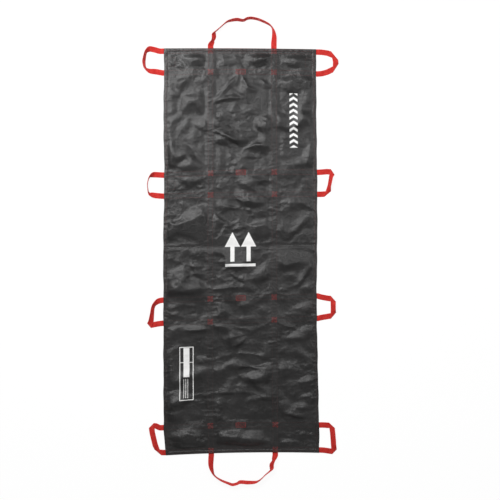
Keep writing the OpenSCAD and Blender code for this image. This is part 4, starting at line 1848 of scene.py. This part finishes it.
@dataclass
class Handle:
    """A carrying loop: webbing that leaves the sheet, leans or folds over round the bight and comes back.

    A route's row is a share of the reach, a place along the edge and the webbing's lean in degrees, 0 flat
    on the floor and 90 on its edge. Between two stretches the webbing is folded over on itself.
    """

    reach: float
    finish: bpy.types.Material
    gap: float = 0.0003
    square_share: float = 0.07
    steps: int = 9
    width: float = LAYOUT.webbing
    thick: float = LAYOUT.webbing_thick
    root_run: float = 0.025
    layer_gap: float = 0.0003
    layer_run: float = 0.030
    floor_gap: float = 0.0001
    root_pitch: float = 0.005
    pitch: float = 0.0025
    bridge: int = 7
    fold_turns: int = 8

    def _placed(self, rows: np.ndarray, turned: bool, rise: float, lift: float) -> np.ndarray:
        """Where the rows of a stretch lie.

        Args:
            rows: the stretch, with its places along the edge in metres.
            turned: whether the webbing shows its other face.
            rise: extra height of the webbing where it comes out from under the cloth.
            lift: extra height of a stretch that lies on another.

        Returns:
            Rows of out, along, up and the lean in radians.
        """
        lean = np.radians(rows[:, 2] + 180.0 * turned)
        out = self.gap + rows[:, 0] * (self.reach - self.gap - self.width / 2 * np.abs(np.cos(lean)))
        up = (self.width * np.abs(np.sin(lean)) + self.thick * np.abs(np.cos(lean))) / 2 + self.floor_gap
        up = up + rise * np.clip(1 - out / self.root_run, 0, 1) + lift * np.clip(out / self.layer_run, 0, 1)
        return np.stack([out, rows[:, 1], up, lean], axis=1)

    def _even(self, whole: np.ndarray) -> np.ndarray:
        """The rows again, at an even pitch along the line.

        Args:
            whole: rows of out, along, up and lean.

        Returns:
            Rows of the same kind.
        """
        run = np.concatenate([[0], np.cumsum(np.linalg.norm(np.diff(whole[:, :3], axis=0), axis=1))])
        keep = np.concatenate([[True], np.diff(run) > 1e-6])
        run, whole = run[keep], whole[keep]
        wanted = np.linspace(0, run[-1], max(3, round(run[-1] / self.pitch)))
        return np.stack([np.interp(wanted, run, whole[:, k]) for k in range(4)], axis=1)

    def _square(self, points: np.ndarray) -> np.ndarray:
        """The webbing's sections square to its line.

        Args:
            points: rows of out, along, up and lean.

        Returns:
            A row for each: the middle, the vector across, the face's direction and no skew.
        """
        places, lean = points[:, :3], points[:, 3:]
        ahead = np.gradient(places, axis=0)
        ahead /= np.linalg.norm(ahead, axis=1)[:, None]
        level = np.stack([-ahead[:, 1], ahead[:, 0], np.zeros(len(ahead))], axis=1)
        level /= np.linalg.norm(level, axis=1)[:, None]
        steep = np.cross(ahead, level)
        across = np.cos(lean) * level + np.sin(lean) * steep
        face = np.cos(lean) * steep - np.sin(lean) * level
        return np.hstack([places, across, face, np.zeros_like(lean)])

    def _folded(
        self, before: np.ndarray, first: np.ndarray, second: np.ndarray, after: np.ndarray
    ) -> np.ndarray:
        """The sections round a fold, on the crease that halves the corner's angle.

        Args:
            before: the last square section before the fold.
            first: the fold's point on the layer that comes.
            second: the same point on the layer that goes on.
            after: the first square section after it.

        Returns:
            The sections, from the one layer round to the other.
        """
        come, leave = first[:3] - before[:3], after[:3] - second[:3]
        come[2] = leave[2] = 0
        come /= np.linalg.norm(come)
        leave /= np.linalg.norm(leave)
        outward = (come - leave) / np.linalg.norm(come - leave)
        shown_face = np.sign(before[8])
        crease = (come + leave) / ((come + leave) @ np.array([-come[1], come[0], 0]))
        middle = np.array([first[0], first[1], (first[2] + second[2]) / 2])
        rise = (first[2] - second[2]) / 2
        upward = np.array([0, 0, 1.0])
        made = []
        for turn in np.linspace(0, math.pi, self.fold_turns + 1):
            place = middle + upward * rise * math.cos(turn) + outward * abs(rise) * math.sin(turn)
            bulge = math.copysign(1, rise) * outward * math.sin(turn)
            face = shown_face * (upward * math.cos(turn) + bulge)
            skew = shown_face * (crease @ come) * self.width / 2
            made.append(np.concatenate([place, shown_face * crease, face, [skew]]))
        return np.array(made)

    def laid(self, stretches: Sequence[np.ndarray], top: int, rise: float, inside: float) -> np.ndarray:
        """Turns a route into the webbing's sections.

        Args:
            stretches: the route's rows, folded over between one stretch and the next.
            top: the stretch that lies on its neighbours.
            rise: extra height of the webbing where it comes out from under the cloth.
            inside: length of each leg that runs on under the cloth.

        Returns:
            A row for each section: the middle (out, along, up), the vector across, the face and the skew.
        """
        last = len(stretches) - 1
        bodies, starts, ends = [], [], []
        for k, rows in enumerate(stretches):
            lift = self.thick + self.layer_gap if k == top and last else 0.0
            free = rows[:-1] if k < last else rows
            curve = catmull(free, self.steps) if len(free) > 1 else free
            points = self._placed(curve, k % 2 == 1, rise, lift)
            start = self._placed(stretches[k - 1][-1:], k % 2 == 1, rise, lift) if k else None
            end = self._placed(rows[-1:], k % 2 == 1, rise, lift) if k < last else None
            tail = np.linspace(-inside, 0, max(4, round(inside / self.root_pitch)))
            if start is None:
                root = np.stack([tail, *(np.full_like(tail, points[0, i]) for i in (1, 2, 3))], axis=1)
                points = np.vstack([root, points])
            if end is None:
                root = np.stack([tail[::-1], *(np.full_like(tail, points[-1, i]) for i in (1, 2, 3))], axis=1)
                points = np.vstack([points, root])
            points = self._even(points) if len(points) > 1 else points
            held = [part for part in (start, points, end) if part is not None]
            sections = self._square(np.vstack(held))
            bodies.append(sections[(start is not None):len(sections) - (end is not None)])
            starts.append(start)
            ends.append(end)
        made = [bodies[0]]
        for k in range(last):
            fold = self._folded(bodies[k][-1], ends[k][0], starts[k + 1][0], bodies[k + 1][0])
            made.append(np.linspace(bodies[k][-1], fold[0], self.bridge)[1:-1])
            made.append(fold)
            made.append(np.linspace(fold[-1], bodies[k + 1][0], self.bridge)[1:-1])
            made.append(bodies[k + 1])
        return np.vstack(made)


@dataclass(frozen=True)
class Lie:
    """How a side handle lies: how far out, its stretches between folds, and which of them lies on top."""

    reach: float
    top: int
    stretches: tuple[Route, ...]


@dataclass
class SideHandle(Handle):
    """A handle on a long side, at one of the cross webbings."""

    number: int = 1
    side: Side = Side.RIGHT
    lie: Lie = Lie(0.08, 1, ())
    layout: Layout = LAYOUT

    def build(self) -> bpy.types.Object:
        """Sweeps the loop with the legs under its flap."""
        lay = self.layout
        span = lay.spans[self.number - 1]
        stretches = [list(rows) for rows in self.lie.stretches]
        stretches[0].insert(0, (self.square_share, 0, 0))
        stretches[-1].append((self.square_share, 1, 0))
        placed = [np.array([(p, (0.5 - q) * span, t) for p, q, t in rows]) for rows in stretches]
        inside = lay.half_width - lay.flap_crease - lay.flap_reach
        rows = self.laid(placed, self.lie.top, 0.0, inside)
        way = self.side.value
        mirror = np.array([way, 1, 1])
        centre = rows[:, :3] * mirror + np.array([way * lay.half_width, lay.stations[self.number - 1], 0])
        body = f"handle_{self.number}_{self.side.word}"
        mesh = Ribbon().mesh(centre, rows[:, 3:6] * mirror, rows[:, 6:9] * mirror * way, rows[:, 9])
        piece = shown(mesh, f"webbing_{body}", self.finish)
        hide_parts(body, f"cross_strap_{self.number}_{self.side.word}")
        flap, z = flap_body(self.side, End.of(self.number)), lay.edge_height
        edge = way * lay.half_width
        edge + way * lay.handle_reach
        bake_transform(piece)
        log.info("%s: reach %.3f m", piece.name, self.reach)
        return piece


@dataclass
class DragHandle(Handle):
    """A handle on an end, between the two long webbings."""

    end: End = End.HEAD
    route: Route = ()
    layout: Layout = LAYOUT
    root: float = 0.030

    def build(self) -> bpy.types.Object:
        """Sweeps the loop with its two legs under the sheet's end."""
        lay = self.layout
        turn = self.end.value
        rows = [(self.square_share, 1, 0), *self.route, (self.square_share, -1, 0)]
        rows = np.array([(p, q * lay.rail_half, t) for p, q, t in rows])
        rows = self.laid([rows], 0, lay.webbing_thick, self.root)
        turned = np.array([[0, turn, 0], [-turn, 0, 0], [0, 0, 1.0]])
        centre = rows[:, :3] @ turned + np.array([lay.rail_shift, turn * lay.half_length, 0])
        body = f"drag_handle_{self.end.word}"
        mesh = Ribbon().mesh(centre, rows[:, 3:6] @ turned, rows[:, 6:9] @ turned, rows[:, 9])
        piece = shown(mesh, f"webbing_{body}", self.finish)
        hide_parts(body)
        f"centre_{self.end.word}"
        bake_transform(piece)
        log.info("%s: reach %.3f m", piece.name, self.reach)
        return piece


LEFT_LIES: tuple[Lie, ...] = (
    Lie(0.096, 1, (
        (
            (0.24, 0, 0), (0.45, -0.05, 0), (0.66, -0.09, 10), (0.78, -0.09, 28), (0.86, 0, 62),
            (0.91, 0.11, 68), (0.97, 0.32, 63), (1, 0.5, 60), (0.95, 0.72, 66), (0.87, 0.84, 60),
            (0.74, 0.92, 28), (0.46, 0.94, 0), (0.19, 0.98, 0),
        ),
    )),
    Lie(0.075, 1, (
        (
            (0.32, -0.01, 0), (0.68, -0.02, 8), (0.82, 0, 42), (0.88, 0.08, 80), (0.94, 0.2, 88),
            (0.99, 0.43, 90), (0.97, 0.66, 88), (0.95, 0.81, 82), (0.92, 0.91, 56), (0.78, 0.95, 20),
            (0.47, 0.98, 0),
        ),
    )),
    Lie(0.074, 0, (
        (
            (0.35, 0.04, 14), (0.56, 0.15, 46), (0.69, 0.32, 54), (0.77, 0.6, 46), (0.88, 0.9, 24),
            (1.03, 1.1, 0),
        ),
        ((0.42, 1.03, 0),),
    )),
    Lie(0.070, 1, (
        ((0.3, 0, 0), (0.58, -0.07, 0), (0.94, -0.08, 0)),
        ((0.9, 0.2, 16), (0.73, 0.7, 20), (0.58, 0.98, 0)),
        ((0.2, 1, 0),),
    )),
)

RIGHT_LIES: tuple[Lie, ...] = (
    Lie(0.101, 1, (
        ((0.3, 0.01, 0), (0.6, 0.05, 0), (0.93, 0.17, 0)),
        ((0.99, 0.45, 14), (0.98, 0.73, 0)),
        ((0.58, 0.91, 0), (0.3, 0.98, 0)),
    )),
    Lie(0.080, 1, (
        ((0.3, -0.01, 0), (0.66, -0.03, 0), (1.02, -0.01, 0)),
        ((0.86, 0.23, 48), (0.74, 0.62, 54), (0.67, 0.98, 0)),
        ((0.25, 1, 0),),
    )),
    Lie(0.087, 1, (
        ((0.3, 0.05, 0), (0.66, 0.1, 0), (0.99, 0.13, 0)),
        ((0.97, 0.36, 28), (0.97, 0.62, 28), (0.99, 0.87, 0)),
        ((0.62, 0.92, 0), (0.3, 0.96, 0)),
    )),
    Lie(0.080, 1, (
        ((0.3, 0, 0), (0.54, 0.01, 0), (0.84, 0.02, 0)),
        ((0.88, 0.3, 22), (0.93, 0.75, 22), (1.01, 1.06, 0)),
        ((0.67, 1.04, 0), (0.35, 1.01, 0)),
    )),
)

HEAD_REACH: float = 0.139
HEAD_ROUTE: Route = (
    (0.1, 1, 8), (0.15, 0.975, 28), (0.2, 0.95, 40), (0.26, 0.925, 60), (0.39, 0.895, 40),
    (0.48, 0.895, 46), (0.52, 0.86, 82), (0.59, 0.78, 90), (0.7, 0.66, 90), (0.81, 0.54, 88),
    (0.89, 0.43, 78), (0.96, 0.19, 65), (0.92, -0.02, 72), (0.98, -0.14, 72), (1, -0.28, 72),
    (0.96, -0.47, 75), (0.89, -0.65, 75), (0.79, -0.83, 80), (0.69, -0.93, 84), (0.56, -0.99, 60),
    (0.39, -1.01, 32), (0.2, -1, 10),
)

FOOT_REACH: float = 0.138
FOOT_ROUTE: Route = (
    (0.09, 1, 8), (0.14, 0.985, 28), (0.2, 0.962, 44), (0.28, 0.935, 62), (0.41, 0.89, 40),
    (0.51, 0.89, 48), (0.55, 0.85, 82), (0.68, 0.69, 90), (0.78, 0.59, 90), (0.87, 0.48, 84),
    (0.93, 0.36, 70), (0.95, 0.15, 60), (0.93, -0.07, 62), (0.97, -0.18, 72), (1, -0.32, 72),
    (0.95, -0.45, 75), (0.83, -0.7, 82), (0.7, -0.88, 85), (0.58, -0.96, 64), (0.41, -1.01, 34),
    (0.2, -1.01, 10),
)


# ---------------------------------------------------------------- patches


@dataclass
class EdgePatch:
    """A square of heavy cloth sewn under the edge between the legs of a cross webbing."""

    number: int
    side: Side
    finish: bpy.types.Material
    layout: Layout = LAYOUT
    cells: tuple[int, int] = (18, 22)
    fray: Point = (0.0006, 900)
    wave: tuple[float, float, float] = (0.00012, 420, 380)
    rim_share: float = 0.5

    def build(self) -> bpy.types.Object:
        """Builds the patch where its solid is, with a turned and slightly frayed rim."""
        node = f"edge_patch_{self.number}_{self.side.word}"
        low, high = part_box(node)
        columns, rows = self.cells
        mesh, column, row, layer = slab(columns, rows)
        u, v = column / columns, row / rows
        x = low.x + (high.x - low.x) * u
        y = low.y + (high.y - low.y) * v
        rim = np.minimum(np.minimum(column, columns - column), np.minimum(row, rows - row))
        x = x + np.where(rim == 0, self.fray[0] * np.sin(y * self.fray[1] + self.number), 0)
        height, pace_x, pace_y = self.wave
        wave = height * np.sin(x * pace_x + self.number) * np.sin(y * pace_y)
        thick = (high.z - low.z) * np.where(rim == 0, self.rim_share, 1.0)
        z = (low.z + high.z) / 2 + wave + (layer - 0.5) * thick
        moved_x, moved_y = self.layout.askew(x, y)
        lay_out(mesh, np.stack([moved_x, moved_y, z], axis=1), np.stack([x, y], axis=1), LAID)
        piece = shown(mesh, f"{node}_cloth", self.finish)
        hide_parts(node)
        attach(piece, flap_body(self.side, End.of(self.number)))
        log.info("%s", piece.name)
        return piece


# ---------------------------------------------------------------- studio


@dataclass(frozen=True)
class Lamp:
    """A square soft lamp: where it hangs, the point that it faces, its side's length and its watts."""

    name: str
    place: tuple[float, float, float]
    target: tuple[float, float, float]
    size: float
    power: float

    def hang(self) -> None:
        """Hangs the lamp in the scene."""
        data = bpy.data.lights.new(self.name, "AREA")
        data.size, data.energy = self.size, self.power
        made = bpy.data.objects.new(self.name, data)
        made.location = self.place
        aim = Vector(self.target) - Vector(self.place)
        made.rotation_euler = aim.to_track_quat("-Z", "Y").to_euler()
        bpy.context.scene.collection.objects.link(made)


@dataclass
class Studio:
    """A white floor, soft lamps and the camera straight above.

    The lamps are a big soft one from the head end on the left, a weaker one from the right and a low fill.
    The floor glows with floor_light where the camera sees it, by the share floor_glow, and keeps a shadow.
    """

    lens: float = 80.0
    sensor: float = 36.0
    frame_width: float = 2.249
    aim: Point = (0.0414, 0.0090)
    far: float = 40.0
    sky_colour: Colour = (1.0, 0.99, 0.98, 1.0)
    sky_light: float = 0.17
    floor_glow: float = 0.93
    floor_light: float = 1.012
    floor_half: float = 6.0
    floor_drop: float = 0.0005
    lamps: tuple[Lamp, ...] = (
        Lamp("key", (-1.35, 1.75, 2.7), (0.0, 0.3, 0), 1.0, 112),
        Lamp("side", (2.1, 0.9, 2.6), (0.0, 0.2, 0), 0.8, 34),
        Lamp("fill", (0.2, -2.6, 2.6), (0.0, -0.3, 0), 1.4, 6),
    )

    def camera(self) -> None:
        """Hangs the camera over the sheet, looking straight down with the head end up."""
        data = bpy.data.cameras.new("overhead")
        data.lens, data.sensor_width = self.lens, self.sensor
        data.clip_end = self.far
        made = bpy.data.objects.new("overhead", data)
        made.location = (*self.aim, self.lens * self.frame_width / self.sensor)
        bpy.context.scene.collection.objects.link(made)
        bpy.context.scene.camera = made

    def world(self) -> None:
        """Plain pale surroundings, white to the camera."""
        world = bpy.data.worlds.new("studio")
        world.use_nodes = True
        tree = world.node_tree
        tree.nodes.clear()
        path = tree.nodes.new("ShaderNodeLightPath")
        soft, white = tree.nodes.new("ShaderNodeBackground"), tree.nodes.new("ShaderNodeBackground")
        for node, colour, light in ((soft, self.sky_colour, self.sky_light), (white, grey(1.0), 1.0)):
            node.inputs["Color"].default_value, node.inputs["Strength"].default_value = colour, light
        mixed, output = tree.nodes.new("ShaderNodeMixShader"), tree.nodes.new("ShaderNodeOutputWorld")
        tree.links.new(path.outputs["Is Camera Ray"], mixed.inputs[0])
        tree.links.new(soft.outputs[0], mixed.inputs[1])
        tree.links.new(white.outputs[0], mixed.inputs[2])
        tree.links.new(mixed.outputs[0], output.inputs[0])
        bpy.context.scene.world = world

    def _floor_material(self) -> bpy.types.Material:
        """White to the camera and to mirrors, apart from the shadow that lies on it."""
        bench = Bench("white_floor")
        material = bench.finish({"Roughness": 0.9, "Specular IOR Level": 0.1}, {"Base Color": grey(0.96)})
        tree = material.node_tree
        path = tree.nodes.new("ShaderNodeLightPath")
        seen = Signal(bench, path.outputs["Is Camera Ray"])
        for other in ("Is Glossy Ray", "Is Transmission Ray"):
            seen = seen.higher(Signal(bench, path.outputs[other]))
        glow = tree.nodes.new("ShaderNodeEmission")
        glow.inputs["Color"].default_value = grey(1.0)
        glow.inputs["Strength"].default_value = self.floor_light
        mixed = tree.nodes.new("ShaderNodeMixShader")
        output = next(n for n in tree.nodes if n.type == "OUTPUT_MATERIAL")
        lit = output.inputs["Surface"].links[0].from_socket
        bench.feed(mixed.inputs[0], seen * self.floor_glow)
        tree.links.new(lit, mixed.inputs[1])
        tree.links.new(glow.outputs[0], mixed.inputs[2])
        tree.links.new(mixed.outputs[0], output.inputs["Surface"])
        return material

    def floor(self) -> None:
        """A white floor that keeps the object's shadow."""
        shape = bmesh.new()
        bmesh.ops.create_grid(shape, x_segments=1, y_segments=1, size=self.floor_half)
        mesh = bpy.data.meshes.new("floor")
        shape.to_mesh(mesh)
        shape.free()
        made = bpy.data.objects.new("floor", mesh)
        made.location = (0, 0, -self.floor_drop)
        bpy.context.scene.collection.objects.link(made)
        mesh.materials.append(self._floor_material())

    def build(self) -> None:
        """Sets up the whole studio but the camera."""
        self.world()
        for lamp in self.lamps:
            lamp.hang()
        self.floor()
        bpy.context.scene.view_settings.view_transform = "Standard"


# ---------------------------------------------------------------- the whole


def main() -> None:
    """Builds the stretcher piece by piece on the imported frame."""
    logging.basicConfig(level=logging.INFO, format="%(name)s: %(message)s")
    studio = Studio()
    studio.camera()
    red = Webbing().material()
    patch = PatchCloth().material()
    sheet = Sheet(Relief(), CoatedNylon())
    sheet.build()
    Stitching(sheet, BRIGHT_THREAD.material(), DULL_THREAD.material()).build()
    LongWebbing(red).build()
    for number in NUMBERS:
        CrossWebbing(number, red).build()
        for side, lies in ((Side.LEFT, LEFT_LIES), (Side.RIGHT, RIGHT_LIES)):
            lie = lies[number - 1]
            SideHandle(lie.reach, red, number=number, side=side, lie=lie).build()
            EdgePatch(number, side, patch).build()
    DragHandle(HEAD_REACH, red, end=End.HEAD, route=HEAD_ROUTE).build()
    DragHandle(FOOT_REACH, red, end=End.FOOT, route=FOOT_ROUTE).build()
    studio.build()


if __name__ == "__main__":
    main()
